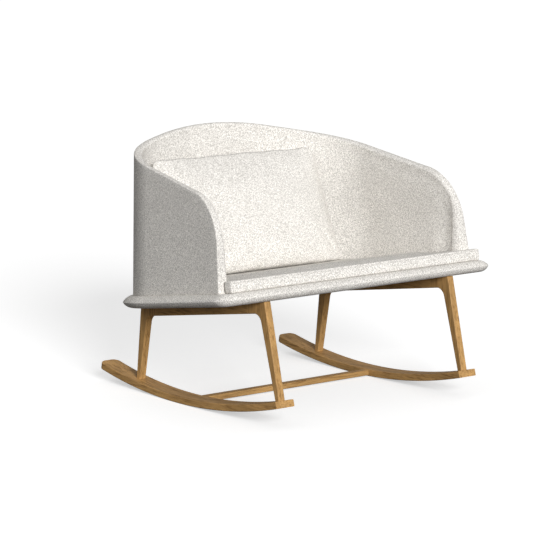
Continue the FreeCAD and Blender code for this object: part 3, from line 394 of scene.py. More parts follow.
def inward_normals(line):
    """Normals of an open line, to its left, level at both ends."""
    normals = []
    for i, point in enumerate(line):
        after = line[min(i + 1, len(line) - 1)]
        before = line[max(i - 1, 0)]
        along = (after - before).normalized()
        normals.append(Vector((-along.y, along.x)))
    return normals


# Modelling helpers

def deselect():
    if bpy.context.object and bpy.context.object.mode != "OBJECT":
        bpy.ops.object.mode_set(mode="OBJECT")
    bpy.ops.object.select_all(action="DESELECT")


def activate(piece):
    deselect()
    piece.select_set(True)
    bpy.context.view_layer.objects.active = piece


def new_ribbon(name, columns, rows):
    """A grid of faces whose corners are put in place afterwards, row by row."""
    deselect()
    bpy.ops.mesh.primitive_grid_add(x_subdivisions=columns - 1, y_subdivisions=rows - 1, size=1.0)
    piece = bpy.context.object
    piece.name = name
    piece.data.name = name
    if len(piece.data.vertices) != columns * rows:
        raise RuntimeError("the ribbon has an unexpected number of corners")
    return piece


def edit(piece, mode="FACE"):
    """Open a piece in edit mode with nothing selected."""
    activate(piece)
    bpy.ops.object.mode_set(mode="EDIT")
    bpy.ops.mesh.select_mode(type=mode)
    bpy.ops.mesh.select_all(action="DESELECT")


def done():
    bpy.ops.object.mode_set(mode="OBJECT")


def pick(piece, chosen, kind="edges"):
    """Select the edges, faces or vertices that a test picks by their place."""
    mesh = bmesh.from_edit_mesh(piece.data)
    for element in getattr(mesh, kind):
        element.select_set(bool(chosen(element)))
    mesh.select_flush_mode()
    bmesh.update_edit_mesh(piece.data)


def slice_panel(piece, places, normal):
    """Cut the piece along parallel planes, so that it can bend."""
    edit(piece)
    for place in places:
        bpy.ops.mesh.select_all(action="SELECT")
        bpy.ops.mesh.bisect(plane_co=Vector(normal) * place, plane_no=normal)
    done()


def apply_modifier(piece, kind, **values):
    activate(piece)
    modifier = piece.modifiers.new(kind.title(), kind)
    for name, value in values.items():
        setattr(modifier, name, value)
    bpy.ops.object.modifier_apply(modifier=modifier.name)


def face_outwards(piece):
    edit(piece)
    bpy.ops.mesh.select_all(action="SELECT")
    bpy.ops.mesh.remove_doubles(threshold=0.00002)
    bpy.ops.mesh.normals_make_consistent(inside=False)
    done()


def soften(piece, degrees):
    activate(piece)
    bpy.ops.object.shade_smooth_by_angle(angle=math.radians(degrees))


def finish_piece(piece, body, slot, material, *nodes):
    piece.data.materials.clear()
    piece.data.materials.append(material)
    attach(piece, body)
    if nodes:
        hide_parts(*nodes)


# Materials

class Nodes:
    """A short way to write a node tree."""

    def __init__(self, name):
        self.material = bpy.data.materials.new(name)
        self.material.use_nodes = True
        self.tree = self.material.node_tree
        self.shader = self.tree.nodes["Principled BSDF"]

    def add(self, kind, inputs=None, **values):
        node = self.tree.nodes.new(kind)
        for name, value in values.items():
            setattr(node, name, value)
        for name, value in (inputs or {}).items():
            socket = node.inputs[name]
            if isinstance(value, bpy.types.NodeSocket):
                self.tree.links.new(value, socket)
            else:
                socket.default_value = value
        return node

    def mix(self, share, first, second, blend="MIX"):
        node = self.add("ShaderNodeMix", data_type="RGBA", blend_type=blend)
        for socket, value in ((node.inputs[0], share), (node.inputs[6], first), (node.inputs[7], second)):
            if isinstance(value, bpy.types.NodeSocket):
                self.tree.links.new(value, socket)
            else:
                socket.default_value = value
        return node.outputs[2]

    def noise(self, place, scale, detail, **more):
        inputs = {"Vector": place, "Scale": scale, "Detail": detail, **more}
        return self.add("ShaderNodeTexNoise", inputs).outputs["Fac"]

    def range(self, value, low, high, to_low=0.0, to_high=1.0):
        node = self.add("ShaderNodeMapRange", {"Value": value, "From Min": low, "From Max": high,
                                              "To Min": to_low, "To Max": to_high})
        return node.outputs["Result"]

    def link(self, output, name):
        self.tree.links.new(output, self.shader.inputs[name])


def opaque(colour):
    return (*colour, 1.0)


YARNS = ((430, 430, 260), (260, 260, 430))   # stretch of the pattern for yarns across and along
GRAIN = 900
CLOUD = 9


def fabric_material(name, finishes):
    """Ivory melange weave: light and grey-beige yarns across and along, fine grain and soft clouds."""
    nodes = Nodes(name)
    place = nodes.add("ShaderNodeTexCoord").outputs["Object"]
    yarns = []
    for stretch in YARNS:
        mapped = nodes.add("ShaderNodeMapping", {"Vector": place, "Scale": stretch}).outputs["Vector"]
        yarns.append(nodes.noise(mapped, 1.0, 2.0, Roughness=0.6))
    weave = nodes.add("ShaderNodeMath", {0: yarns[0], 1: yarns[1]}, operation="ADD").outputs[0]
    fine = nodes.noise(place, GRAIN, 1.0)
    cloud = nodes.noise(place, CLOUD, 2.0)
    flecks = nodes.range(weave, 0.88, 1.14)
    colour = nodes.mix(flecks, opaque(finishes.fleck), opaque(finishes.ivory))
    tone = nodes.range(cloud, 0.3, 0.7, 0.97, 1.03)
    colour = nodes.mix(1.0, colour, tone, "MULTIPLY")
    grain = nodes.range(fine, 0.3, 0.7, 0.90, 1.10)
    colour = nodes.mix(1.0, colour, grain, "MULTIPLY")
    # Painted shade: the seam attribute darkens seams, creases, the gap behind the seat cushion's strip and
    # the arms' crests, where shade falls
    seam = nodes.add("ShaderNodeAttribute", attribute_name="seam").outputs["Fac"]
    colour = nodes.mix(seam, colour, opaque(finishes.seam_shade))
    nodes.link(colour, "Base Color")
    bump = nodes.add("ShaderNodeBump", {"Height": weave, "Strength": 0.6, "Distance": 0.0015})
    nodes.link(bump.outputs["Normal"], "Normal")
    nodes.shader.inputs["Roughness"].default_value = 0.95
    nodes.shader.inputs["Specular IOR Level"].default_value = 0.1
    return nodes.material


FINE_GRAIN = 60     # stretch of the pattern across the grain
LONG_GRAIN = 4.5    # and along it


def teak_material(name, finishes, stretch):
    """Oiled teak: wavy growth lines along the piece, lighter and darker stretches, fine pores."""
    nodes = Nodes(name)
    place = nodes.add("ShaderNodeTexCoord").outputs["Object"]
    mapped = nodes.add("ShaderNodeMapping", {"Vector": place, "Scale": stretch}).outputs["Vector"]
    broad = nodes.noise(mapped, 0.9, 2.0)
    lines = nodes.noise(mapped, 3.0, 4.0, Roughness=0.55, Distortion=0.8)
    pores = nodes.noise(mapped, 12.0, 2.0)
    pore_colour = opaque([0.6 * c for c in finishes.teak_dark])
    colour = nodes.mix(nodes.range(broad, 0.35, 0.65), opaque(finishes.teak_light),
                       opaque([0.74 * c for c in finishes.teak_light]))
    colour = nodes.mix(nodes.range(lines, 0.50, 0.68, 0.0, 0.85), colour, opaque(finishes.teak_dark))
    colour = nodes.mix(nodes.range(pores, 0.56, 0.70, 0.0, 0.45), colour, pore_colour)
    nodes.link(colour, "Base Color")
    nodes.link(nodes.range(lines, 0.3, 0.7, 0.45, 0.62), "Roughness")
    bump = nodes.add("ShaderNodeBump", {"Height": pores, "Strength": 0.2, "Distance": 0.0006})
    nodes.link(bump.outputs["Normal"], "Normal")
    nodes.shader.inputs["Specular IOR Level"].default_value = 0.25
    return nodes.material


def plain_material(name, colour, metallic, roughness, scale):
    """A metal or raw wood with a fine unevenness."""
    nodes = Nodes(name)
    place = nodes.add("ShaderNodeTexCoord").outputs["Object"]
    grain = nodes.noise(place, scale, 3.0)
    nodes.link(nodes.mix(grain, opaque([0.82 * c for c in colour]), opaque(colour)), "Base Color")
    nodes.link(nodes.range(grain, 0.3, 0.7, roughness - 0.06, roughness + 0.06), "Roughness")
    nodes.shader.inputs["Metallic"].default_value = metallic
    return nodes.material


def material(name):
    found = bpy.data.materials.get(name)
    if found is None:
        raise RuntimeError("there is no material named " + name)
    return found


def paint_shade(piece, chosen):
    """Paint shade into the fabric at the chosen vertices: seams, creases and gaps where shade falls."""
    attribute = piece.data.attributes.new("seam", "FLOAT", "POINT")
    for vertex in piece.data.vertices:
        attribute.data[vertex.index].value = chosen(vertex)


# Operators

class ROCKER_OT_materials(bpy.types.Operator):
    """Make the fabric, the teak and the metals"""
    bl_idname = "rocker.materials"
    bl_label = "Finishes"

    def execute(self, context):
        finishes = context.scene.finishes
        fabric_material("ivory_melange", finishes)
        teak_material("teak_up", finishes, (FINE_GRAIN, FINE_GRAIN, LONG_GRAIN))
        teak_material("teak_along", finishes, (FINE_GRAIN, LONG_GRAIN, FINE_GRAIN))
        teak_material("teak_across", finishes, (LONG_GRAIN, FINE_GRAIN, FINE_GRAIN))
        plain_material("beech", (0.62, 0.45, 0.27), 0.0, 0.6, 120)
        plain_material("birch_ply", (0.66, 0.52, 0.34), 0.0, 0.7, 60)
        plain_material("foam", (0.80, 0.78, 0.70), 0.0, 0.95, 500)
        plain_material("zinc_steel", (0.58, 0.58, 0.60), 1.0, 0.38, 400)
        plain_material("insert_brass", (0.72, 0.52, 0.24), 1.0, 0.4, 400)
        return {"FINISHED"}


class ROCKER_OT_frames(bpy.types.Operator):
    """Give the teak frames and the fixings their finishes"""
    bl_idname = "rocker.frames"
    bl_label = "Teak frames"

    def execute(self, context):
        finishes = {"leg": "teak_up", "rocker": "teak_along", "rail": "teak_along",
                    "stretcher": "teak_across", "dowels": "beech", "board": "birch_ply",
                    "panel": "birch_ply", "bolts": "zinc_steel", "studs": "zinc_steel",
                    "inserts": "insert_brass"}
        for name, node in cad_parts.items():
            finish = finishes.get(name.split("_")[-1], "foam")
            node.data.materials.clear()
            node.data.materials.append(material(finish))
        return {"FINISHED"}


class ROCKER_OT_shell(bpy.types.Operator):
    """Cut the shell's padded panel flat, round its edges, sew it and wrap it round the seat"""
    bl_idname = "rocker.shell"
    bl_label = "Shell"

    def execute(self, context):
        scene = context.scene
        seat, shell = scene.seat_plan, scene.seat_shell
        wall = Wall(seat, shell)
        line = wall.outline(RIM_STEP)
        normals = inward_normals(line)
        ways = [0.0]
        for before, after in zip(line, line[1:]):
            ways.append(ways[-1] + (after - before).length)
        profiles = [wall.profile(min(way, ways[-1] - way), point, normal)
                    for way, point, normal in zip(ways, line, normals)]
        rows = len(profiles[0])
        piece = new_ribbon("shell_upholstery", len(line), rows)
        for column, (point, normal, profile) in enumerate(zip(line, normals, profiles)):
            for row, (within, depth) in enumerate(profile):
                spot = point + normal * within
                piece.data.vertices[row * len(line) + column].co = (spot.x, max(spot.y, 0.0), depth)
        # Painted shade along the crest of the arms' rounding, where it turns away from the light
        crest = {CREST_ROW * len(line) + column for column, way in enumerate(ways)
                 if min(way, ways[-1] - way) < CREST_SHADE_WAY}
        paint_shade(piece, lambda vertex: CREST_SHADE if vertex.index in crest else 0.0)
        inner = piece.data.attributes.new("inner", "FLOAT", "POINT")
        for vertex in piece.data.vertices[-len(line):]:
            inner.data[vertex.index].value = 1.0
            vertex.co.z = shell.thickness
        self.close(piece, len(line), rows)
        reach = wall.reach
        count = int(2 * reach / BEND_STEP)
        slice_panel(piece, [-reach + 2 * reach * i / count for i in range(1, count)], (1, 0, 0))
        slice_panel(piece, FOOT_CUTS + [HEIGHT_STEP * i for i in range(1, HEIGHT_CUTS + 1)], (0, 1, 0))
        self.wrap(piece, wall)
        face_outwards(piece)
        soften(piece, 35)
        piece.data.transform(seat_matrix(seat))
        finish_piece(piece, "base", "upholstery", material("ivory_melange"),
                     "shell_outer_cover", "shell_inner_pad", "shell_rim_roll")
        return {"FINISHED"}

    @staticmethod
    def close(piece, columns, rows):
        """Fill the outer face, the inner face and the underside."""
        ends = [row * columns + side for row in range(rows) for side in (0, columns - 1)]
        for chosen in (range(columns), range((rows - 1) * columns, rows * columns), ends):
            edit(piece, "VERT")
            wanted = set(chosen)
            pick(piece, lambda vertex: vertex.index in wanted, "verts")
            bpy.ops.mesh.edge_face_add()
            done()

    @staticmethod
    def wrap(piece, wall):
        """Bend the flat panel round the seat, with its inner face at the padding's depth."""
        shell = wall.shell
        inner = piece.data.attributes["inner"]
        for vertex in piece.data.vertices:
            run, height, depth = vertex.co
            depth -= (shell.thickness - wall.padding(height)) * inner.data[vertex.index].value
            tuck = shell.tuck * max(0.0, 1 - height / TUCK_HEIGHT)
            vertex.co = wall.point(run, depth + (tuck if depth < shell.thickness / 2 else -tuck), height)
        piece.data.attributes.remove(inner)


# Steps of the base's mesh
CORNER_STEPS = 8
SIDE_STEPS = 30
BACK_STEPS = 36
LEAST_RADIUS = 0.006
TIP = -0.0008        # the lens edge's tip, just outside its nose
INNER_RING = 0.02    # from the curves to the flat faces


class ROCKER_OT_base(bpy.types.Operator):
    """Shape the padded base with its lens-shaped edge"""
    bl_idname = "rocker.base"
    bl_label = "Seat base"

    def execute(self, context):
        scene = context.scene
        seat, base = scene.seat_plan, scene.seat_base
        rings = self.rings(base)
        outlines = [plate_outline(seat, inset - base.flange, base.front + inset,
                                  max(base.front_radius - inset, LEAST_RADIUS)) for inset, level in rings]
        piece = ring_ribbon("seat_base", outlines, [level for inset, level in rings])
        soften(piece, 60)
        piece.data.transform(seat_matrix(seat))
        finish_piece(piece, "base", "upholstery", material("ivory_melange"), "base_top_pad", "base_under_pad")
        return {"FINISHED"}

    @staticmethod
    def lens(width, height, steps=10):
        """Inset and rise of an arc that starts steeply at the edge and ends level."""
        turn = 2 * math.atan(height / width)
        radius = width / math.sin(turn)
        angles = [turn * (1 - i / steps) for i in range(steps + 1)]
        return [(radius * (math.sin(turn) - math.sin(a)), radius * (math.cos(a) - math.cos(turn)))
                for a in angles]

    def rings(self, base):
        """Inset from the tip and level, from the top face over the lens edge to the underside."""
        half = (base.thickness - base.nose) / 2
        middle = -base.thickness / 2
        upper = [(inset, middle + base.nose / 2 + rise) for inset, rise in self.lens(base.upper_slope, half)]
        lower = [(inset, middle - base.nose / 2 - rise) for inset, rise in self.lens(base.under_slope, half)]
        tip = [(TIP, middle)]
        top = [(upper[-1][0] + INNER_RING, upper[-1][1])]
        bottom = [(lower[-1][0] + INNER_RING, lower[-1][1])]
        return top + upper[::-1] + tip + lower + bottom


def half_plan(seat, inset, step):
    """Points of the right half of the plan, from the arm's front end to the middle of the back."""
    plan = Plan(seat, inset, 0)
    points = []
    for part in (2, 1, 0):
        size = plan.lengths()[part]
        count = max(2, int(size / step))
        points += [plan.place(part, 1 - i / count) for i in range(count)]
    return points + [plan.place(0, 0.0)]


def plate_outline(seat, inset, front, radius):
    """The base's plan: rounded front corners, arms' sides, corners and back."""
    plan = Plan(seat, inset, 0)
    splay = seat.splay
    run = radius * (1 + math.sin(splay)) / math.cos(splay)
    start = plan.start + plan.along * ((front - plan.start.y) / math.cos(splay) + run)
    centre = start + Vector((-math.cos(splay), -math.sin(splay))) * radius
    bend = [centre + Vector((math.cos(turn), math.sin(turn))) * radius
            for turn in (-math.pi / 2 + (math.pi / 2 + splay) * i / CORNER_STEPS
                         for i in range(CORNER_STEPS))]
    side = [start.lerp(plan.bend, i / SIDE_STEPS) for i in range(SIDE_STEPS)]
    rest = [plan.place(part, 1 - i / BACK_STEPS) for part in (1, 0) for i in range(BACK_STEPS)]
    right = bend + side + rest
    middle = plan.place(0, 0.0)
    return [(p.x, p.y) for p in right] + [(middle.x, middle.y)] + [(-p.x, p.y) for p in reversed(right)]


# Steps and marks of the seat cushion
PLAN_STEP = 0.016
BEND_STEPS = 5
CUTS_ASIDE = 41
CUTS_DEEP = 59
COVER_SLACK = 0.002
END_MARK = 0.004                  # keeps the strip's left end square
CORNER_SPOT = 0.0025              # size of the painted shadow in the gap behind the strip's left end
# Painted shadow in that gap, and painted shade along the side's seam
CORNER_SHADE, SEAM_SHADE = 0.85, 0.3
SAG_START, SAG_RUN = 0.1, 0.25    # from the front edge to where the pillow presses
SEAM_HALF = 0.0018
TOP_GAP = 0.0005
SEAT_GAP = 0.0003                 # between the cushion and the base


def cushion_outline(seat, shell, cushion, step):
    """The seat cushion's plan: it fills the shell, and a strip runs across before the arms."""
    neck = seat.front - cushion.arm_gap
    points = [p for p in half_plan(seat, shell.thickness + cushion.clearance, step) if p.y > neck]
    wide, front, radius = cushion.half_width, cushion.front, cushion.corner
    bend = [(wide - radius + radius * math.sin(turn), front + radius - radius * math.cos(turn))
            for turn in (math.pi / 2 * i / BEND_STEPS for i in range(BEND_STEPS + 1))]
    inner = (points[0].x, neck)
    side = [(p.x, p.y) for p in points[1:]]
    right = bend + [(wide, neck), inner] + side
    end = [(wide, neck - END_MARK), (wide, neck)]
    left = [(-x + cushion.left_short, y) for x, y in bend + end] + [(-inner[0], neck)]
    return right + [(-x, y) for x, y in reversed(side[:-1])] + left[::-1]


def inset_outline(outline, distance):
    """Move a closed outline inwards, with its corners mitred."""
    moved = []
    for i, spot in enumerate(outline):
        before, spot, after = (Vector(p) for p in (outline[i - 1], spot, outline[(i + 1) % len(outline)]))
        first = (spot - before).normalized()
        second = (after - spot).normalized()
        normals = Vector((-first.y, first.x)), Vector((-second.y, second.x))
        bisector = normals[0] + normals[1]
        moved.append(spot + bisector * distance / max(0.5, 1 + normals[0].dot(normals[1])))
    return [(p.x, p.y) for p in moved]


def ring_ribbon(name, outlines, levels):
    """A band through closed outlines at their levels, closed at its ends."""
    columns = len(outlines[0])
    piece = new_ribbon(name, columns + 1, len(outlines))
    for row, (outline, level) in enumerate(zip(outlines, levels)):
        for column in range(columns + 1):
            piece.data.vertices[row * (columns + 1) + column].co = (*outline[column % columns], level)
    face_outwards(piece)
    for level in (levels[0], levels[-1]):
        edit(piece, "EDGE")
        pick(piece, lambda edge: edge.is_boundary and all(abs(v.co.z - level) < 1e-6 for v in edge.verts))
        bpy.ops.mesh.edge_face_add()
        done()
    face_outwards(piece)
    return piece


FRAMES = 24


def swell(piece, limit, pressure, held, slack):
    """Blow the cover up as cloth with its seams held, each point within a limit of where it began."""
    start = [vertex.co.copy() for vertex in piece.data.vertices]
    group = piece.vertex_groups.new(name="seams")
    group.add([vertex.index for vertex in piece.data.vertices if held(vertex)], 1.0, "REPLACE")
    activate(piece)
    modifier = piece.modifiers.new("Cover", "CLOTH")
    settings = modifier.settings
    settings.quality = 6
    settings.mass = 0.3
    settings.tension_stiffness = 15
    settings.compression_stiffness = 15
    settings.shear_stiffness = 5
    settings.bending_stiffness = 0.5
    settings.use_pressure = True
    settings.uniform_pressure_force = pressure
    settings.shrink_min = -slack
    settings.effector_weights.gravity = 0.0
    settings.vertex_group_mass = group.name
    modifier.collision_settings.use_self_collision = False
    modifier.point_cache.frame_start = 1
    modifier.point_cache.frame_end = FRAMES
    for number in range(1, FRAMES + 1):
        bpy.context.scene.frame_set(number)
    bpy.ops.object.modifier_apply(modifier=modifier.name)
    bpy.context.scene.frame_set(1)
    piece.vertex_groups.clear()
    for vertex, began in zip(piece.data.vertices, start):
        moved = vertex.co - began
        if moved.length > limit:
            vertex.co = began + moved.normalized() * limit


class ROCKER_OT_seat_cushion(bpy.types.Operator):
    """Cut, fill and swell the loose seat cushion"""
    bl_idname = "rocker.seat_cushion"
    bl_label = "Seat cushion"

    def execute(self, context):
        scene = context.scene
        seat, shell, cushion = scene.seat_plan, scene.seat_shell, scene.seat_cushion
        outline = cushion_outline(seat, shell, cushion, PLAN_STEP)
        rings = self.rings(cushion)
        piece = ring_ribbon("seat_cushion", [inset_outline(outline, inset) for inset, level in rings],
                            [level for inset, level in rings])
        step = cushion.mesh_step
        slice_panel(piece, [step * i for i in range(-CUTS_ASIDE, CUTS_ASIDE + 1)], (1, 0, 0))
        slice_panel(piece, [cushion.front + step * i for i in range(1, CUTS_DEEP + 1)], (0, 1, 0))
        face_outwards(piece)
        edge = outline_edge(piece, rings[-1][1])
        free = {v.index for v in piece.data.vertices if abs(v.co.z - rings[-1][1]) < 1e-6} - edge
        seam = cushion.thickness - cushion.seam_drop
        shaded_seam = {v.index for v in piece.data.vertices if abs(v.co.z - seam) < 1e-6}
        swell(piece, cushion.swell, cushion.pressure, lambda vertex: vertex.index not in free, COVER_SLACK)
        # Painted shadow in the gap behind the strip's left end, and painted shade along the seam
        corner = Vector((-cushion.half_width + cushion.left_short, seat.front - cushion.arm_gap))
        paint_shade(piece, lambda vertex: CORNER_SHADE if (vertex.co.xy - corner).length < CORNER_SPOT
                    else SEAM_SHADE if vertex.index in shaded_seam else 0.0)
        for vertex in piece.data.vertices:
            pressed = ease((vertex.co.y - cushion.front - SAG_START) / SAG_RUN)
            vertex.co.z -= cushion.sag * pressed * vertex.co.z / cushion.thickness
        soften(piece, 50)
        piece.data.transform(seat_matrix(seat) @ Matrix.Translation((0, 0, SEAT_GAP)))
        finish_piece(piece, "seat_cushion", "cushion_fabric", material("ivory_melange"),
                     "seat_cushion_cover", "seat_cushion_foam", "front_strip_foam")
        return {"FINISHED"}

    @staticmethod
    def rings(cushion):
        """Inset and level from the underside up the side with its seam to the upper edge."""
        top = cushion.thickness - TOP_GAP
        seam = cushion.thickness - cushion.seam_drop
        edge = cushion.edge
        lower = [(edge * 2, 0.0), (edge * 0.6, edge * 0.6), (0.0, edge * 2), (0.0, seam / 2)]
        sewn = [(0.0, seam - SEAM_HALF), (cushion.seam_depth, seam), (0.0, seam + SEAM_HALF)]
        return lower + sewn + [(0.0, top - edge), (edge * 0.3, top - edge * 0.3), (edge, top)]


def outline_edge(piece, level):
    """The vertices where the flat upper face meets the sides."""
    on_top = {v.index for v in piece.data.vertices if abs(v.co.z - level) < 1e-6}
    edge = set()
    for face in piece.data.polygons:
        corners = set(face.vertices)
        if not corners <= on_top:
            edge |= corners & on_top
    return edge


def rounded(a, b, half_width, half_height, radius):
    """From a square grid to a rectangle with round corners."""
    x, z = a * half_width, b * half_height
    inner_x, inner_z = half_width - radius, half_height - radius
    if abs(x) > inner_x and abs(z) > inner_z:
        s = (abs(x) - inner_x) / radius
        t = (abs(z) - inner_z) / radius
        x = math.copysign(inner_x + radius * s * math.sqrt(1 - t * t / 2), x)
        z = math.copysign(inner_z + radius * t * math.sqrt(1 - s * s / 2), z)
    return x, z


# Form of the back pillow before it swells
SIDE_TAPER, TOP_TAPER, FOOT_TAPER = 0.45, 0.55, 0.2    # how it thins towards its edges
FOOT_FULLNESS = 0.3                                    # how much fuller its lower half is
LONG_WAVE, WAVE_SHIFT, SHORT_WAVE = 5.3, 0.6, 11.0     # waves along the upper edge
WAVE_FADE = 8
PILLOW_SLACK = 0.01
# Painted shade along the pillow's seam
PILLOW_SEAM_SHADE = 0.6
CREASE_SHADE, CREASE_FADE = 0.5, 0.7                   # painted shadow in the crease on the seat, darker to the left
EDGE_DEPTH = 0.03                                      # from the middle to where the lower edge is rounded


class ROCKER_OT_back_pillow(bpy.types.Operator):
    """Sew, fill and swell the loose back pillow"""
    bl_idname = "rocker.back_pillow"
    bl_label = "Back pillow"

    def execute(self, context):
        scene = context.scene
        pillow = scene.back_pillow
        place = self.place(scene)
        columns = int(pillow.width / pillow.mesh_step)
        side = int(pillow.height / pillow.mesh_step)
        piece = new_ribbon("back_pillow", columns + 1, 2 * side + 1)
        for index, vertex in enumerate(piece.data.vertices):
            row, column = divmod(index, columns + 1)
            a = 2 * column / columns - 1
            b = 2 * row / side - 1 if row <= side else 3 - 2 * row / side
            vertex.co = self.spot(pillow, a, b, -1 if row <= side else 1)
        face_outwards(piece)
        self.stuff(piece, pillow)
        soften(piece, 60)
        self.rest(piece, place, scene)
        piece.data.transform(place)
        finish_piece(piece, "back_pillow", "cushion_fabric", material("ivory_melange"),
                     "back_pillow_cover", "back_pillow_filling")
        return {"FINISHED"}

    @staticmethod
    def place(scene):
        """The frame of the pillow: its seam's middle plane and its lower edge, from the CAD pillow."""
        turn = Matrix.Rotation(-scene.seat_plan.pitch - scene.back_pillow.lean, 4, "X")
        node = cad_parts["back_pillow_cover"]
        spots = [turn.inverted() @ node.matrix_world @ vertex.co for vertex in node.data.vertices]
        depths = [spot.y for spot in spots]
        lowest = min(spot.z for spot in spots)
        return turn @ Matrix.Translation((0, (min(depths) + max(depths)) / 2, lowest))

    @staticmethod
    def spot(pillow, a, b, sense):
        x, z = rounded(a, b, pillow.width / 2, pillow.height / 2, pillow.corner)
        bulge = (max(0.0, 1 - a * a) ** SIDE_TAPER) * (max(0.0, 1 - b) ** TOP_TAPER)
        bulge *= max(0.0, 1 + b) ** FOOT_TAPER
        wave = pillow.wave * math.sin(LONG_WAVE * a + WAVE_SHIFT) * math.sin(SHORT_WAVE * a)
        wave *= max(0.0, b) ** WAVE_FADE
        rise = (pillow.top_rise + pillow.left_rise * (1 - a) / 2) * max(0.0, b)
        stretch = 1 + pillow.sink / pillow.height * (1 - b) / 2
        depth = sense * bulge * pillow.thickness / 2 * (1 + FOOT_FULLNESS * ((1 - b) / 2) ** 2)
        return Vector((x, depth, (z - pillow.height / 2) * stretch + pillow.height + wave + rise))

    @staticmethod
    def rest(piece, place, scene):
        """Slide the lower side forwards, press it flat on the seat cushion and paint shadow into the crease
        along its front.
        """
        cushion, pillow = scene.seat_cushion, scene.back_pillow
        local = place.inverted() @ seat_matrix(scene.seat_plan)
        top = local @ Vector((0, 0, cushion.thickness - cushion.sag + pillow.lift))
        normal = (local.to_3x3() @ Vector((0, 0, 1))).normalized()
        seam = piece.data.attributes["seam"]
        for vertex in piece.data.vertices:
            vertex.co.y -= pillow.slump * (1 - vertex.co.z / pillow.height)
            under = (top - vertex.co).dot(normal)
            if under > 0:
                vertex.co += normal * under
            # Painted shadow in the crease where the pillow meets the seat, darker to the left
            if abs(under) < pillow.crease_shadow and vertex.co.y < 0:
                seam.data[vertex.index].value = CREASE_SHADE - CREASE_FADE * vertex.co.x / pillow.width
            near = min(1.0, max(0.0, 1 + under / pillow.lower_edge))
            inwards = pillow.lower_edge * (1 - math.sqrt(1 - near * near))
            vertex.co.y += inwards * max(-1.0, min(1.0, -vertex.co.y / EDGE_DEPTH))

    @staticmethod
    def stuff(piece, pillow):
        seam = {vertex.index for vertex in piece.data.vertices if abs(vertex.co.y) < 1e-6}
        swell(piece, pillow.swell, pillow.pressure, lambda vertex: vertex.index in seam, PILLOW_SLACK)
        # Painted shade along the seam, where the two sides meet
        paint_shade(piece, lambda vertex: PILLOW_SEAM_SHADE if vertex.index in seam else 0.0)
        apply_modifier(piece, "SUBSURF", levels=1, render_levels=1)


FLOOR_SIZE = 60
FLOOR_SEEN = (0.80, 0.80, 0.80, 1)      # to the camera
FLOOR_BOUNCE = (0.10, 0.10, 0.10, 1)    # to the seat above it
LAMP_DISTANCE = 5
FAR_CLIP = 100
SENSOR = 36


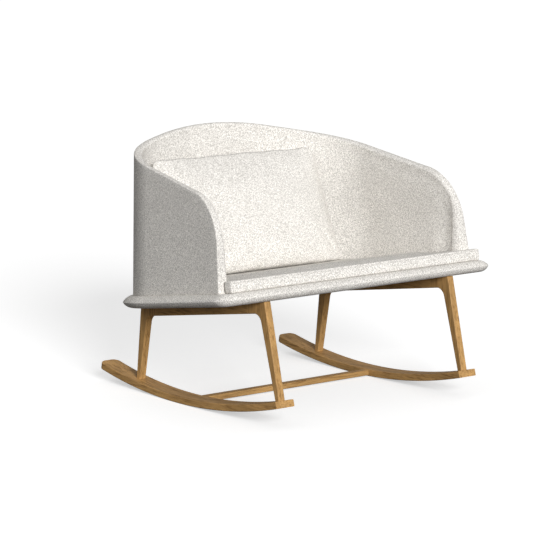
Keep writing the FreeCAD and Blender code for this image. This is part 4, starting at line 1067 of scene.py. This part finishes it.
class ROCKER_OT_stage(bpy.types.Operator):
    """Set up the camera, the floor and the lamps"""
    bl_idname = "rocker.stage"
    bl_label = "Stage"

    def execute(self, context):
        scene = context.scene
        stage = scene.stage
        scene.view_settings.view_transform = "Standard"
        deselect()
        bpy.ops.object.camera_add(location=stage.camera,
                                  rotation=(math.pi / 2 - stage.elevation, 0, stage.azimuth))
        camera = context.object
        camera.name = "photo_camera"
        camera.data.sensor_width = SENSOR
        camera.data.lens = stage.lens
        camera.data.clip_end = FAR_CLIP
        scene.camera = camera
        self.floor(stage)
        self.sun(stage)
        self.world(scene, stage.world)
        return {"FINISHED"}

    @staticmethod
    def floor(stage):
        bpy.ops.mesh.primitive_plane_add(size=FLOOR_SIZE, location=(0, 0, 0))
        floor = bpy.context.object
        floor.name = "floor"
        nodes = Nodes("white_floor")
        rays = nodes.add("ShaderNodeLightPath").outputs["Is Camera Ray"]
        nodes.link(nodes.mix(rays, FLOOR_BOUNCE, FLOOR_SEEN), "Base Color")
        nodes.shader.inputs["Roughness"].default_value = 1.0
        nodes.shader.inputs["Specular IOR Level"].default_value = 0.0
        nodes.shader.inputs["Emission Color"].default_value = (1, 1, 1, 1)
        nodes.link(nodes.range(rays, 0.0, 1.0, 0.0, stage.floor_glow), "Emission Strength")
        floor.data.materials.append(nodes.material)

    @staticmethod
    def sun(stage):
        flat = math.cos(stage.key_rise)
        toward = Vector((flat * math.sin(stage.key_turn), -flat * math.cos(stage.key_turn),
                         math.sin(stage.key_rise)))
        bpy.ops.object.light_add(type="SUN", location=toward * LAMP_DISTANCE)
        lamp = bpy.context.object
        lamp.name = "front_light"
        lamp.data.energy = stage.key
        lamp.data.angle = stage.key_spread
        lamp.rotation_euler = (-toward).to_track_quat("-Z", "Y").to_euler()

    @staticmethod
    def world(scene, strength):
        """White to the camera, softer for the light on the seat."""
        world = scene.world or bpy.data.worlds.new("studio")
        scene.world = world
        world.use_nodes = True
        tree = world.node_tree
        background = tree.nodes["Background"]
        background.inputs["Color"].default_value = (1, 1, 1, 1)
        rays = tree.nodes.new("ShaderNodeLightPath")
        seen = tree.nodes.new("ShaderNodeMath")
        seen.operation = "MAXIMUM"
        tree.links.new(rays.outputs["Is Camera Ray"], seen.inputs[0])
        tree.links.new(rays.outputs["Is Transmission Ray"], seen.inputs[1])
        level = tree.nodes.new("ShaderNodeMapRange")
        level.inputs["To Min"].default_value = strength
        tree.links.new(seen.outputs[0], level.inputs["Value"])
        tree.links.new(level.outputs["Result"], background.inputs["Strength"])


OPERATORS = (
    ROCKER_OT_materials,
    ROCKER_OT_frames,
    ROCKER_OT_base,
    ROCKER_OT_shell,
    ROCKER_OT_seat_cushion,
    ROCKER_OT_back_pillow,
    ROCKER_OT_stage,
)


class ROCKER_PT_panel(bpy.types.Panel):
    """Lists the pieces of the rocking seat"""
    bl_label = "Rocking seat"
    bl_idname = "ROCKER_PT_panel"
    bl_space_type = "VIEW_3D"
    bl_region_type = "UI"
    bl_category = "Rocking seat"

    def draw(self, context):
        for operator in OPERATORS:
            self.layout.operator(operator.bl_idname)


def register():
    for name, group in SETTINGS.items():
        bpy.utils.register_class(group)
        setattr(bpy.types.Scene, name, PointerProperty(type=group))
    for operator in OPERATORS:
        bpy.utils.register_class(operator)
    bpy.utils.register_class(ROCKER_PT_panel)


def unregister():
    bpy.utils.unregister_class(ROCKER_PT_panel)
    for operator in reversed(OPERATORS):
        bpy.utils.unregister_class(operator)
    for name, group in SETTINGS.items():
        delattr(bpy.types.Scene, name)
        bpy.utils.unregister_class(group)


def main():
    register()
    bpy.ops.rocker.materials()
    bpy.ops.rocker.frames()
    bpy.ops.rocker.base()
    bpy.ops.rocker.shell()
    bpy.ops.rocker.seat_cushion()
    bpy.ops.rocker.back_pillow()
    bpy.ops.rocker.stage()


if __name__ == "__main__":
    main()
